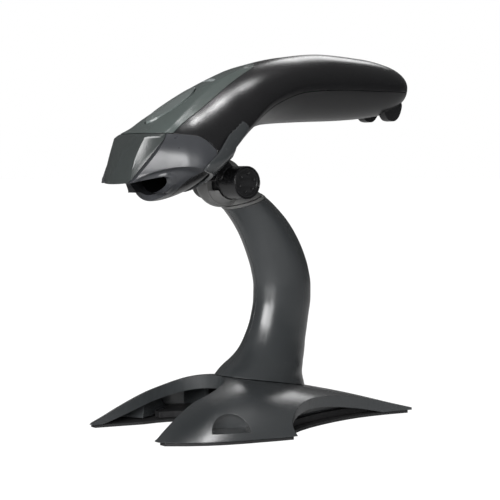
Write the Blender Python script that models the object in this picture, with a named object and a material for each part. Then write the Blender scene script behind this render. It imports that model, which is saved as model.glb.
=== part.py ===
"""Handheld barcode scanner resting in the tilting cradle of its curved presentation stand.

Run with: blender --background --python part.py

Frame: +Z up, the nose of the scanner points towards -Y, X runs across the scanner.
The origin is on the table, under the middle of the stand.
Lengths in the constants are millimetres and are turned into metres when a mesh is made.
Heights in the constants are measured from the lower rim of the base shell, which stands
RIM_HEIGHT over the table on its rubber pad.
"""
import math

import bmesh
import bpy
from mathutils import Vector

MM = 0.001
GAP = 0.3                      # clearance between neighbouring pieces
FAR = 150.0                    # reach of a cutter beyond the object
RIM_HEIGHT = 1.5               # height of the base shell's rim over the table

# ---------------------------------------------------------------- scanner skin
# Each curve lists (y, value) stations from the nose to the tail.
RIDGE_Z = [(-84, 133), (-74, 143.6), (-66, 147.8), (-57, 154), (-45, 161.6), (-27, 171.3), (-4, 180.1),
           (18, 185), (46, 188), (72, 187), (88, 184.6), (97, 181.4), (101.6, 177.4), (105, 173.6)]
BELLY_Z = [(-84, 118.4), (-70, 113.2), (-61, 111.7), (-49, 114.2), (-39, 121.4), (-28.5, 130.6),
           (-18.5, 139.5), (-8, 146.2), (6, 150.2), (30, 152), (60, 153.6), (86, 156.6), (95, 160),
           (101, 164), (105, 170.6)]
FLANK_Z = [(-84, 127), (-58, 128.6), (-47, 130), (-36, 136.5), (-22, 148), (-2, 162), (20, 169),
           (46, 171), (80, 171.5), (105, 172)]
HALF_WIDTH = [(-84, 12), (-79.5, 15), (-73, 19), (-66, 23.5), (-58, 29), (-50, 32.4), (-43, 33),
              (-34, 32), (-20, 28.4), (0, 24.6), (22, 22.4), (50, 21.4), (80, 19.6), (91, 17.4),
              (98, 13.8), (102.6, 8.6), (105, 3)]
UPPER_POWER = [(-84, 3.6), (-71, 3.1), (-61, 2.2), (-47, 1.8), (-25, 1.72), (10, 1.95), (60, 2.1),
               (105, 2.1)]
LOWER_POWER = [(-84, 3.0), (-74, 2.4), (-68, 1.9), (-60, 1.6), (-52, 1.48), (-40, 1.45), (-20, 1.6),
               (10, 1.95), (90, 2.2), (105, 2.2)]
NOSE_Y = -84.0
TAIL_Y = 105.0
SKIN_STATIONS = 24
SKIN_POINTS = 32
SHELL_WALL = 2.2

FACE_TOP = (-73.2, 144.0)          # (y, z) of the front face's upper edge
FACE_BOTTOM = (-83.2, 120.0)
VISOR_SEAM_TOP = (-65.0, 143.6)    # the seam that runs down the visor's side
VISOR_SEAM_BOTTOM = (-80.4, 121.6)
LEDGE_Z = 144.0                    # flat top of the visor
FACE_SAG = (0.4, 2.4)              # how far the face's edges stand behind its middle, at its top and bottom
FACE_HALF_WIDTH = 11.5
BEVEL_POINT = (13.6, -72.8, 143.8)  # top front corner of the visor's side bevel
BEVEL_NORMAL = (0.721, -0.670, 0.175)
NOSE_BORDER = [(-64, 144), (-57.8, 143.4), (-53.7, 143), (-49.9, 141.3), (-46.8, 138.1), (-45.2, 135.5),
               (-47, 130), (-51, 125.5), (-54.7, 122.5), (-56.6, 119), (-57.4, 115.9), (-57.2, 90)]
MOUTH_OUTLINE = [(-95, 119.6), (-84, 119.8), (-70, 122.2), (-64, 123.4), (-60.8, 122.6), (-59.6, 119.8),
                 (-61.5, 116.6), (-64.5, 115.3), (-95, 115.3)]
LIP_FRONT_Y = -62.6               # front of the mouth's lower lip
LIP_BOW = 0.01                     # the lip's edge falls back by this times x squared
LIP_TOP_Z = 115.3
COVER_OUTLINE = [(21, -80), (21, -63), (19, -47.5), (16.5, -35.3), (12, -22), (5.4, -6.6), (0, 1.8)]
COVER_SIDE = [(-72.6, 144.3), (-20, 144.3), (6, 165), (6, 230), (-72.6, 230)]
PARTING_DROP = 2.5                 # the handle's seam runs this far under the widest line
EAR_OUTLINE = [(80, 161), (83.2, 154), (86.2, 151.4), (90.2, 151), (93.4, 152.7), (96, 156.6),
               (97.6, 162), (92, 168)]
EAR_X = (6.4, 11.4)

# ---------------------------------------------------------------- scanner fittings
BUTTON_CENTRE_Y = -49.5
BUTTON_HALF = (6.6, 14.0)          # half width and half length of the trigger button
BUTTON_PROUD = 0.9                 # the button stands this far over the skin
BUTTON_DEPTH = 3.0
LENS_HALF_X = 4.2                  # indicator lens, with its (front, rear) edges below
LENS_Y = (-27.4, -24.8)
SOCKET_HALF = (5.2, 3.35)          # half width and half height of the cable socket
SOCKET_MOUTH_HALF = (3.9, 2.5)
SOCKET_CENTRE_Z = 166.85
SOCKET_Y = (90.0, 106.0)
WINDOW_SLAB = [(-77.8, 122.6), (-62.5, 125.8), (-62.5, 127.4), (-77.8, 124.2)]
MIRROR_AXIS = (0, -50, 129.5)      # foot of the scan mirror's upright axis
SHAFT_RADIUS = 1.2
DECK_Z = 129.5                     # top of the optics chassis
DECK_THICKNESS = 2.5
MODULE_RADIUS = 3.4                # laser module and mirror coil
MODULE_LIFT = 3.8                  # their centres over the deck
LASER_PLACE = (8.0, -46.0)         # (x, y)
COIL_PLACE = (-7.4, -43.0)
BOARD_Z = 166.4                    # underside of the main board
BOARD_THICKNESS = 1.6
CHIP_THICKNESS = 1.6
BEEPER_RADIUS = 6.0
BEEPER_HEIGHT = 5.0
SWITCH_BOARD_Z = 148.6
SWITCH_BOARD_THICKNESS = 1.4
SWITCH_TOP_Z = 153.9
HOUSING_SCREW_Y = (30.0, 74.0)

# ---------------------------------------------------------------- tilt joint
TILT_Y = -18.9
TILT_Z = 120.7
BARREL_RADIUS = 8.2
BARREL_FROM_X = -14.0
BARREL_TO_X = 22.0
KNUCKLE_RADIUS = 12.4
KNUCKLE_SPLIT_X = 4.2              # seam between the knuckle's far and near housings
KNUCKLE_SHOULDER_Z = 116.8         # top edge of the near housing, under the arm
KNUCKLE_SWEEP_RADIUS = 11.4        # the cradle's underside passes outside this
KNUCKLE_SWEEP_DEG = (70, 170)      # from +Y towards +Z
ARM_X = (4.7, 12.2)
STALK_TOP = [(-34, 134), (-26, 146), (-15, 146), (-19.8, 136.6), (-22.2, 133.8), (-22.8, 131)]
SEAM_CENTRE = (-10.3, 110.7)       # (y, z) of the seam plane on top of the neck
SEAM_LEAN_DEG = 20.0
PIN_RADIUS = 2.5
CAP_RADIUS = 7.3
CAP_SEAT = 3.4                     # depth of the recess for the cap and its spring washer
CAP_HOLES = 6
CAP_HOLE_CIRCLE = 4.6

# ---------------------------------------------------------------- cradle
CRADLE_GAP = 0.4
CRADLE_WALL = 2.4
CRADLE_SCREWS = ((8.4, -28.0), (8.4, -21.5))   # (x, y)
CRADLE_PROFILE = [(-43, 100), (-42.6, 119), (-43.6, 122), (-46.5, 124.4), (-50.4, 125.6), (-52.8, 126.8),
                  (-52.2, 128.6), (-49, 131.8), (-45.2, 135.3), (-42.4, 139.1), (-39.2, 143),
                  (-35.7, 147.4), (-32.6, 150.8), (-31, 151.6), (-28, 150), (-25.4, 147.2), (-28.6, 143.8),
                  (-32.4, 140.2), (-35.4, 137.2), (-36, 134.8), (-33.5, 133.4), (-28, 134.4), (-20, 138.6),
                  (-12, 142), (-8.8, 139), (-8.8, 100)]

# ---------------------------------------------------------------- stand
RIDGE_BASE_Z = [(-78, 3.0), (-73, 7.2), (-61, 13.2), (-43, 19.4), (-20, 22.8), (0, 20.8), (20, 16.8),
                (34, 13.8), (48, 10.8), (61, 7.4), (72, 4.2), (80, 1.9)]
BASE_HALF_WIDTH = [(-78, 31.5), (-73, 36.5), (-67, 40.6), (-60, 45), (-48, 50.2), (-36, 53.6),
                   (-15, 58.2), (10, 59), (80, 59)]
BASE_POWER = [(-78, 2.2), (-20, 2.5), (30, 3.2), (80, 3.4)]
BASE_FRONT_Y = -78.0
BASE_REAR_Y = 80.0
NOTCH_HALF_WIDTH = 20.4
NOTCH_STRAIGHT_Y = -50.0
NOTCH_APEX_Y = -19.4
SIDE_ARC_CENTRE = (55.6, 47.6)     # (x, y) of the ellipse that hollows each side
SIDE_ARC_AXES = (23.2, 64.0)
SIDE_ARC_POWER = 1.7
BASE_WALL = 2.2
SKIRT_DROP = 6.8                   # height of the band that hangs from the notch and the side arcs
PAD_THICKNESS = 1.4
SCOOP_CENTRE = (47.0, -47.5, 3.2)  # middle of a flank scoop's flat floor
SCOOP_RADIUS = 9.4
SCOOP_HEIGHT = 7.6
SCOOP_TURN_DEG = 28.0              # the scoop looks this far towards the nose
SCOOP_DEPTH = 16.0
PLATE_THICKNESS = 3.2
PLATE_FRONT_Y = -40.0
RIB_X = (20.0, 46.0)
RIB_Y = -14.0
RIB_BOTTOM_Z = 3.9
PLATE_SCREWS = ((-26.0, -4.0), (26.0, -4.0), (-14.0, 40.0), (14.0, 40.0))   # (x, y)

# ---------------------------------------------------------------- neck, by height
NECK_CENTRE_Y = [(8, 2.4), (18, 3.8), (24, 6.6), (31, 11.5), (38.4, 16.2), (46.5, 19.6), (59, 21.7),
                 (67, 21.5), (76, 19.6), (84, 16.6), (92.6, 12.2), (101, 6.2), (109, -1.6), (116, -8.8),
                 (121, -14)]
NECK_HALF_X = [(8, 25), (20, 20.5), (30, 15.6), (42, 12.6), (60, 11.8), (90, 12), (112, 12.2), (117, 11),
               (121, 7)]
NECK_HALF_Y = [(8, 33.6), (16, 30.6), (24, 26.8), (32, 23.2), (42, 19.2), (52, 17.9), (62, 17.6),
               (80, 16.8), (95, 16), (107, 15), (113, 13.2), (117, 10), (121, 5)]
NECK_WALL = 2.4
NECK_BOTTOM_Z = 8.0
NECK_TOP_Z = 121.0
NECK_STATIONS = 15
NECK_POINTS = 28
COLLAR_HEIGHT = 1.5
COLLAR_PROUD = 0.25
COLLAR_BORE_RADIUS = 8.5

FINISHES = {
    "black_shell": ((0.012, 0.012, 0.013), 0.32, 0.0),
    "cover_grey": ((0.115, 0.135, 0.128), 0.30, 0.0),
    "nose_grey": ((0.075, 0.078, 0.086), 0.28, 0.0),
    "visor_grey": ((0.06, 0.066, 0.064), 0.28, 0.0),
    "stand_grey": ((0.055, 0.062, 0.063), 0.25, 0.0),
    "light_grey": ((0.36, 0.36, 0.34), 0.35, 0.0),
    "button_grey": ((0.2, 0.22, 0.21), 0.25, 0.0),
    "cast_dark": ((0.02, 0.02, 0.021), 0.6, 0.6),
    "rubber": ((0.015, 0.015, 0.016), 0.75, 0.0),
    "steel": ((0.55, 0.56, 0.57), 0.3, 1.0),
    "window": ((0.02, 0.004, 0.005), 0.05, 0.0),
    "lens": ((0.5, 0.52, 0.54), 0.08, 0.0),
    "board": ((0.02, 0.12, 0.05), 0.5, 0.0),
    "brass": ((0.7, 0.5, 0.2), 0.3, 1.0),
    "mirror": ((0.85, 0.86, 0.88), 0.03, 1.0),
    "dark_plastic": ((0.03, 0.03, 0.033), 0.5, 0.0),
}


# ================================================================ helpers
def start_empty():
    """Remove whatever the file holds."""
    for obj in list(bpy.data.objects):
        bpy.data.objects.remove(obj, do_unlink=True)


def material(name):
    """Make or fetch a Principled material from FINISHES."""
    found = bpy.data.materials.get(name)
    if found:
        return found
    colour, roughness, metallic = FINISHES[name]
    made = bpy.data.materials.new(name)
    made.use_nodes = True
    shader = made.node_tree.nodes["Principled BSDF"]
    shader.inputs["Base Color"].default_value = (*colour, 1.0)
    shader.inputs["Roughness"].default_value = roughness
    shader.inputs["Metallic"].default_value = metallic
    return made


def follow(stations, at):
    """Value of a smooth curve through (position, value) stations."""
    if at <= stations[0][0]:
        return stations[0][1]
    if at >= stations[-1][0]:
        return stations[-1][1]
    index = 0
    while stations[index + 1][0] < at:
        index += 1
    slopes = [slope_at(stations, index), slope_at(stations, index + 1)]
    (x0, v0), (x1, v1) = stations[index], stations[index + 1]
    span = x1 - x0
    t = (at - x0) / span
    rise = t * t * (3 - 2 * t)
    return (v0 * (1 - rise) + v1 * rise
            + slopes[0] * span * t * (1 - t) ** 2
            - slopes[1] * span * t * t * (1 - t))


def slope_at(stations, index):
    """Slope at a station, flat where the curve turns."""
    low = max(index - 1, 0)
    high = min(index + 1, len(stations) - 1)
    if low == index or high == index:
        return (stations[high][1] - stations[low][1]) / (stations[high][0] - stations[low][0])
    before = (stations[index][1] - stations[low][1]) / (stations[index][0] - stations[low][0])
    after = (stations[high][1] - stations[index][1]) / (stations[high][0] - stations[index][0])
    if before * after <= 0:
        return 0.0
    return 2 * before * after / (before + after)


def spread(low, high, count, ease=0.0):
    """Evenly spaced positions, drawn towards both ends by ease."""
    places = []
    for step in range(count):
        t = step / (count - 1)
        eased = 0.5 - 0.5 * math.cos(math.pi * t)
        places.append(low + (high - low) * (t * (1 - ease) + eased * ease))
    return places


def power_ring(half_x, top, bottom, middle, upper_power, lower_power, count):
    """Closed (x, z) ring: a superellipse above the middle line and another below it."""
    ring = []
    for step in range(count):
        angle = 2 * math.pi * step / count
        c, s = math.cos(angle), math.sin(angle)
        power = upper_power if s >= 0 else lower_power
        reach = top - middle if s >= 0 else middle - bottom
        x = half_x * math.copysign(abs(c) ** (2 / power), c)
        z = middle + reach * math.copysign(abs(s) ** (2 / power), s)
        ring.append((x, z))
    return ring


def add_object(name, bm, finish=None, origin=(0, 0, 0), smooth_deg=35):
    """Turn a bmesh in millimetres into an object in metres with its origin at origin."""
    bmesh.ops.recalc_face_normals(bm, faces=bm.faces)
    bmesh.ops.translate(bm, verts=bm.verts, vec=-Vector(origin))
    bmesh.ops.scale(bm, verts=bm.verts, vec=(MM, MM, MM))
    mesh = bpy.data.meshes.new(name)
    bm.to_mesh(mesh)
    bm.free()
    obj = bpy.data.objects.new(name, mesh)
    obj.location = (Vector(origin) + Vector((0, 0, RIM_HEIGHT))) * MM
    bpy.context.scene.collection.objects.link(obj)
    if finish:
        mesh.materials.append(material(finish))
        mesh.shade_smooth()
        mesh.set_sharp_from_angle(angle=math.radians(smooth_deg))
    return obj


def loft(rings):
    """Closed bmesh through equal rings of 3D points, capped at both ends."""
    bm = bmesh.new()
    rows = [[bm.verts.new(point) for point in ring] for ring in rings]
    count = len(rings[0])
    for low, high in zip(rows, rows[1:]):
        for index in range(count):
            after = (index + 1) % count
            bm.faces.new((low[index], low[after], high[after], high[index]))
    bm.faces.new(list(reversed(rows[0])))
    bm.faces.new(rows[-1])
    return bm


def prism(outline, axis, low, high):
    """Closed bmesh: an outline swept along one axis.

    The outline's two coordinates are the other two axes in X, Y, Z order.
    """
    def place(a, b, along):
        if axis == "X":
            return (along, a, b)
        if axis == "Y":
            return (a, along, b)
        return (a, b, along)
    return loft([[place(a, b, low) for a, b in outline], [place(a, b, high) for a, b in outline]])


def box(low, high):
    """Closed bmesh box between two corners."""
    outline = [(low[0], low[1]), (high[0], low[1]), (high[0], high[1]), (low[0], high[1])]
    return prism(outline, "Z", low[2], high[2])


def rod(radius, centre, direction, low, high, segments=32):
    """Closed bmesh cylinder along a direction, between two distances from centre."""
    axis = Vector(direction).normalized()
    turn = axis.to_track_quat("Z", "Y").to_matrix()
    rings = []
    for along in (low, high):
        ring = []
        for step in range(segments):
            angle = 2 * math.pi * step / segments
            spoke = turn @ Vector((radius * math.cos(angle), radius * math.sin(angle), along))
            ring.append(Vector(centre) + spoke)
        rings.append(ring)
    return loft(rings)


def turned(profile, centre, direction, segments=32):
    """Closed bmesh of revolution: profile lists (radius, distance along the axis)."""
    axis = Vector(direction).normalized()
    turn = axis.to_track_quat("Z", "Y").to_matrix()
    rings = []
    for radius, along in profile:
        ring = []
        for step in range(segments):
            angle = 2 * math.pi * step / segments
            spoke = turn @ Vector((radius * math.cos(angle), radius * math.sin(angle), along))
            ring.append(Vector(centre) + spoke)
        rings.append(ring)
    return loft(rings)


def cut(obj, bm, operation="DIFFERENCE"):
    """Apply one exact boolean to obj with a tool bmesh in millimetres."""
    apply_boolean(obj, add_object("tool", bm), operation)


def apply_boolean(obj, tool, operation):
    """Apply one exact boolean to obj and remove the tool object."""
    modifier = obj.modifiers.new("cut", "BOOLEAN")
    modifier.operation = operation
    modifier.solver = "EXACT"
    modifier.object = tool
    graph = bpy.context.evaluated_depsgraph_get()
    result = bpy.data.meshes.new_from_object(obj.evaluated_get(graph))
    obj.modifiers.remove(modifier)
    obj.data = result
    bpy.data.objects.remove(tool, do_unlink=True)


def finish_mesh(obj, finish, smooth_deg=35):
    """Clean a cut mesh and give it its material."""
    bm = bmesh.new()
    bm.from_mesh(obj.data)
    bmesh.ops.remove_doubles(bm, verts=bm.verts, dist=0.00001)
    bmesh.ops.dissolve_degenerate(bm, edges=bm.edges, dist=0.00001)
    bm.to_mesh(obj.data)
    bm.free()
    obj.data.materials.clear()
    obj.data.materials.append(material(finish))
    obj.data.shade_smooth()
    obj.data.set_sharp_from_angle(angle=math.radians(smooth_deg))


def part(name, bm, finish, cuts=(), keeps=(), origin=(0, 0, 0), smooth_deg=35):
    """One sub-part: a solid, kept inside the keeps and cut by the cuts."""
    obj = add_object(name, bm, origin=origin)
    for tool in keeps:
        cut(obj, tool, "INTERSECT")
    for tool in cuts:
        cut(obj, tool)
    finish_mesh(obj, finish, smooth_deg)
    return obj


def pair(name, build):
    """Make a left and a right copy of a piece; build takes the side as -1 or 1."""
    for side, word in ((-1, "left"), (1, "right")):
        build(f"{name}_{word}", side)


# ================================================================ scanner skin
def skin_ring(y, grow):
    """Ring of the scanner's skin at y, moved outwards by grow."""
    half_x = max(follow(HALF_WIDTH, y) + grow, 0.6)
    middle = follow(FLANK_Z, y)
    top = max(follow(RIDGE_Z, y) + grow, middle + 0.5)
    bottom = min(follow(BELLY_Z, y) - grow, middle - 0.5)
    powers = (follow(UPPER_POWER, y), follow(LOWER_POWER, y))
    return [(x, y, z) for x, z in power_ring(half_x, top, bottom, middle, *powers, SKIN_POINTS)]


def skin(grow=0.0, low=NOSE_Y, high=TAIL_Y, stations=SKIN_STATIONS):
    """Solid inside the scanner's skin, between two slices."""
    return loft([skin_ring(y, grow) for y in spread(low, high, stations, ease=0.35)])


def hollow():
    """The space inside the scanner's walls."""
    return skin(-SHELL_WALL, NOSE_Y + 6, TAIL_Y - 3.2)


def side_region(outline):
    """Region given by a (y, z) outline, right across the scanner."""
    return prism(outline, "X", -FAR, FAR)


def shifted(outline, dy, dz):
    """The same outline, moved."""
    return [(y + dy, z + dz) for y, z in outline]


def front_of(seam_top, seam_bottom, gap=0.0):
    """Everything on the nose side of a slanted seam plane."""
    (y1, z1), (y0, z0) = seam_top, seam_bottom
    run = (y1 - y0) / (z1 - z0)
    top = (y1 + run * 100 - gap, z1 + 100)
    bottom = (y0 - run * 100 - gap, z0 - 100)
    return side_region([(-FAR - 60, z0 - 100), bottom, top, (-FAR - 60, z1 + 100)])


def beyond_bevel(side):
    """Everything outside the bevel between the visor's face and one cheek."""
    normal = Vector((side * BEVEL_NORMAL[0], BEVEL_NORMAL[1], BEVEL_NORMAL[2]))
    point = (side * BEVEL_POINT[0], BEVEL_POINT[1], BEVEL_POINT[2])
    return rod(60, point, normal, 0, 40, 4)


def behind_face():
    """Everything behind the front face, which bows forward in the middle."""
    (y1, z1), (y0, z0) = FACE_TOP, FACE_BOTTOM
    rings = []
    for z in (z0 - 20, z0, z1, z1 + 40):
        up = (z - z0) / (z1 - z0)
        middle = y0 + (y1 - y0) * up
        sag = max(FACE_SAG[1] + (FACE_SAG[0] - FACE_SAG[1]) * up, 0.1)
        ring = [(x, middle + sag * (x / FACE_HALF_WIDTH) ** 2, z) for x in spread(-24, 24, 17)]
        rings.append(ring + [(24, FAR, z), (-24, FAR, z)])
    return loft(rings)


def nose_outline(gap=0.0):
    """Side outline of the region that belongs to the nose bezel, under its border line."""
    border = shifted(NOSE_BORDER, 1.4 * gap, 0.3 * gap)
    return [(-100, 90), (-100, LEDGE_Z + gap), (-64, LEDGE_Z + gap)] + border[1:]


def cover_region(gap=0.0):
    """Column over the long pointed top cover."""
    half = [(x + gap, y) for x, y in COVER_OUTLINE[:-1]]
    tip = (0.0, COVER_OUTLINE[-1][1] + 2 * gap)
    outline = half + [tip] + [(-x, y) for x, y in reversed(half)]
    return prism(outline, "Z", LEDGE_Z - gap, 220)


def parting_outline(gap, upwards):
    """Side outline of everything above (or below) the handle's seam."""
    shift = gap if upwards else -gap
    line = [(y, follow(FLANK_Z, y) - PARTING_DROP + shift) for y in spread(-95, 125, 18)]
    end = 230 if upwards else 60
    return [(-95, end)] + line + [(125, end)]


# ================================================================ scanner pieces
def build_visor():
    """Front fascia with its flat face and ledge."""
    visor = add_object("visor", skin())
    cut(visor, front_of(VISOR_SEAM_TOP, VISOR_SEAM_BOTTOM, GAP / 2), "INTERSECT")
    cut(visor, box((-60, -120, 60), (60, 0, LEDGE_Z)), "INTERSECT")
    for side in (-1, 1):
        cut(visor, beyond_bevel(side))
    cut(visor, behind_face(), "INTERSECT")
    for tool in (prism(MOUTH_OUTLINE, "X", -60, 60), visor_pocket()):
        cut(visor, tool)
    finish_mesh(visor, "visor_grey")


def visor_pocket():
    """Hollow behind the visor's face."""
    rear = [(FACE_TOP[0] + SHELL_WALL, LEDGE_Z - SHELL_WALL), (-50, LEDGE_Z - SHELL_WALL), (-50, 123.5),
            (FACE_BOTTOM[0] + 4.0, 123.5)]
    return prism(rear, "X", -9.5, 9.5)


def build_nose_bezel():
    """Grey cheeks, chin and mouth of the nose."""
    ahead = front_of(VISOR_SEAM_TOP, VISOR_SEAM_BOTTOM, -GAP / 2)
    part("nose_bezel", skin(), "nose_grey",
         keeps=[side_region(nose_outline())],
         cuts=[ahead, prism(MOUTH_OUTLINE, "X", -60, 60), ahead_of_lip(), nose_hollow()])


def ahead_of_lip():
    """Everything in front of the mouth's bowed lower lip."""
    edge = [(x, LIP_FRONT_Y + LIP_BOW * x * x) for x in spread(-28, 28, 21)]
    return prism(edge + [(28, -FAR), (-28, -FAR)], "Z", 90, LIP_TOP_Z + 0.5)


def nose_hollow():
    """Space behind the bezel for the scanning window and the laser's view."""
    return skin(-SHELL_WALL, -79, -18, 16)


def build_top_cover():
    """Long pointed cover on the scanner's back."""
    part("top_cover", skin(), "cover_grey",
         keeps=[side_region(COVER_SIDE), cover_region(-GAP / 2)],
         cuts=[skin(-SHELL_WALL, -84, 60), button_hole(), lens_hole()])


def button_outline(grow=0.0, count=28):
    """Long oval of the trigger button, seen from above."""
    half_x, half_y = BUTTON_HALF[0] + grow, BUTTON_HALF[1] + grow
    outline = []
    for step in range(count):
        angle = 2 * math.pi * step / count
        outline.append((half_x * math.cos(angle), BUTTON_CENTRE_Y + half_y * math.sin(angle)))
    return outline


def button_hole():
    """Opening in the cover for the button."""
    return prism(button_outline(0.5), "Z", 140, 220)


def lens_outline(grow=0.0):
    """Short slot for the indicator lens, seen from above."""
    half = LENS_HALF_X + grow
    low, high = LENS_Y[0] - grow, LENS_Y[1] + grow
    return [(-half, low), (half, low), (half, high), (-half, high)]


def lens_hole():
    """Opening in the cover for the indicator lens."""
    return prism(lens_outline(GAP), "Z", 140, 220)


def build_trigger_button():
    """Button that presses in along the cover's normal."""
    part("trigger_button", skin(BUTTON_PROUD, -75, -20, 18), "button_grey",
         keeps=[prism(button_outline(), "Z", 145, 220)], cuts=[skin(-BUTTON_DEPTH, -84, 60)])


def build_indicator_lens():
    """Clear slot lens behind the button."""
    part("indicator_lens", skin(0.1, -45, -10, 8), "lens", keeps=[prism(lens_outline(), "Z", 145, 220)],
         cuts=[skin(-BUTTON_DEPTH, -84, 60)])


def build_handle_shells():
    """Black upper and lower halves of the body and handle."""
    part("handle_upper_shell", skin(), "black_shell",
         keeps=[side_region(parting_outline(GAP / 2, True))],
         cuts=[hollow(), cover_region(GAP / 2), side_region(nose_outline(GAP)), socket_hole()])
    lower = add_object("handle_lower_shell", skin())
    cut(lower, side_region(parting_outline(GAP / 2, False)), "INTERSECT")
    cut(lower, side_region(nose_outline(GAP)))
    for side in (-1, 1):
        low, high = sorted((side * EAR_X[0], side * EAR_X[1]))
        cut(lower, prism(EAR_OUTLINE, "X", low, high), "UNION")
    for tool in (hollow(), socket_hole()):
        cut(lower, tool)
    finish_mesh(lower, "black_shell")


def socket_block(half, low_y, high_y):
    """Box round the socket's axis in the tail."""
    return box((-half[0], low_y, SOCKET_CENTRE_Z - half[1]), (half[0], high_y, SOCKET_CENTRE_Z + half[1]))


def socket_hole():
    """Opening in the tail for the cable socket."""
    return socket_block((SOCKET_HALF[0] + 0.4, SOCKET_HALF[1] + 0.4), SOCKET_Y[0] + 3, FAR)


def build_cable_socket():
    """Modular socket in the tail."""
    part("cable_socket", socket_block(SOCKET_HALF, *SOCKET_Y), "dark_plastic",
         cuts=[socket_block(SOCKET_MOUTH_HALF, SOCKET_Y[0] + 5, FAR)])


def build_scan_window():
    """Dark window in the roof of the mouth."""
    front, rear = WINDOW_SLAB[0][0], WINDOW_SLAB[1][0]
    part("scan_window", skin(-SHELL_WALL - GAP - 0.1, front, rear, 12), "window",
         keeps=[side_region(WINDOW_SLAB)])


def build_optics():
    """Laser, scan mirror, collector mirror and photodetector on one chassis."""
    x, y, z = MIRROR_AXIS
    up, along = (0, 0, 1), (0, 1, 0)
    part("optics_chassis", box((-11, -61, DECK_Z - DECK_THICKNESS), (11, -38, DECK_Z)), "dark_plastic",
         cuts=[rod(SHAFT_RADIUS + 0.5, MIRROR_AXIS, up, -8, 8, 20)])
    laser = (*LASER_PLACE, DECK_Z + MODULE_LIFT)
    part("laser_module", rod(MODULE_RADIUS, laser, along, -6, 6.6, 28), "brass",
         cuts=[rod(1.4, laser, along, -9, -4, 20)])
    part("mirror_shaft", rod(SHAFT_RADIUS, MIRROR_AXIS, up, -2.5, 12, 20), "steel", origin=MIRROR_AXIS)
    part("scan_mirror", box((x - 3.9, y - 2.2, z + 1.4), (x + 3.9, y + 1.8, z + 10.4)), "mirror",
         cuts=[rod(SHAFT_RADIUS + 0.05, MIRROR_AXIS, up, -20, 20, 20)], origin=MIRROR_AXIS)
    coil = (*COIL_PLACE, DECK_Z + MODULE_LIFT)
    part("mirror_coil", rod(MODULE_RADIUS, coil, along, -3, 3, 28), "brass",
         cuts=[rod(1.5, coil, along, -9, 9, 20)])
    part("collector_mirror", box((-10, -36.4, DECK_Z + 1.5), (10, -35, DECK_Z + 13.5)), "mirror")
    part("photodetector", box((-3.2, -59.8, DECK_Z + 9.5), (3.2, -57.6, DECK_Z + 15.5)), "dark_plastic")


def build_electronics():
    """Boards, switch and beeper."""
    board_top = BOARD_Z + BOARD_THICKNESS
    seat = board_top + GAP
    part("main_board", box((-13, -12, BOARD_Z), (13, 62, board_top)), "board")
    part("decoder_chip", box((-6, 14, seat), (6, 26, seat + CHIP_THICKNESS)), "dark_plastic")
    part("beeper", rod(BEEPER_RADIUS, (0, 44, seat), (0, 0, 1), 0, BEEPER_HEIGHT, 32), "dark_plastic",
         cuts=[rod(1.4, (0, 44, seat), (0, 0, 1), BEEPER_HEIGHT - 2, BEEPER_HEIGHT + 4, 20)])
    switch_seat = SWITCH_BOARD_Z + SWITCH_BOARD_THICKNESS
    part("switch_board", box((-8, -56, SWITCH_BOARD_Z), (8, -41, switch_seat)), "board")
    part("trigger_switch", box((-3, -50, switch_seat + GAP), (3, -44, SWITCH_TOP_Z)), "dark_plastic")


def build_housing_screws():
    """Screws that close the handle from below."""
    for index, y in enumerate(HOUSING_SCREW_Y):
        base = follow(BELLY_Z, y) + SHELL_WALL + 3 * GAP
        part(f"housing_screw_{index + 1}",
             turned([(0.8, base + 10), (1.4, base + 9), (1.4, base + 2), (2.6, base + 2), (2.6, base)],
                    (0, y, 0), (0, 0, 1), 10), "steel")


# ================================================================ cradle and tilt joint
def build_cradle():
    """Band that wraps the lower half of the scanner's head, with a tongue back under its belly."""
    outer = skin(CRADLE_GAP + CRADLE_WALL, -70, 20, 20)
    part("cradle", outer, "stand_grey",
         keeps=[side_region(CRADLE_PROFILE)],
         cuts=[cradle_pocket()] + [rod(1.9, (x, y, 0), (0, 0, 1), 100, 160, 12) for x, y in CRADLE_SCREWS])


def cradle_pocket():
    """Space for the scanner: its lower half, and a straight way out above its widest line."""
    rings = []
    for y in spread(NOSE_Y, TAIL_Y, SKIN_STATIONS, ease=0.35):
        lower = [point for point in skin_ring(y, CRADLE_GAP) if point[2] <= follow(FLANK_Z, y) + 0.01]
        lower.sort(key=lambda point: point[0])
        rings.append(lower + [(lower[-1][0], y, 230), (lower[0][0], y, 230)])
    return loft(rings)


def tilt_point(along_x=0.0):
    """Point on the tilt axis."""
    return (along_x, TILT_Y, TILT_Z)


def around_tilt(radius, angle_deg):
    """(y, z) at a radius and angle round the tilt axis, from +Y towards +Z."""
    angle = math.radians(angle_deg)
    return (TILT_Y + radius * math.cos(angle), TILT_Z + radius * math.sin(angle))


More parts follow.
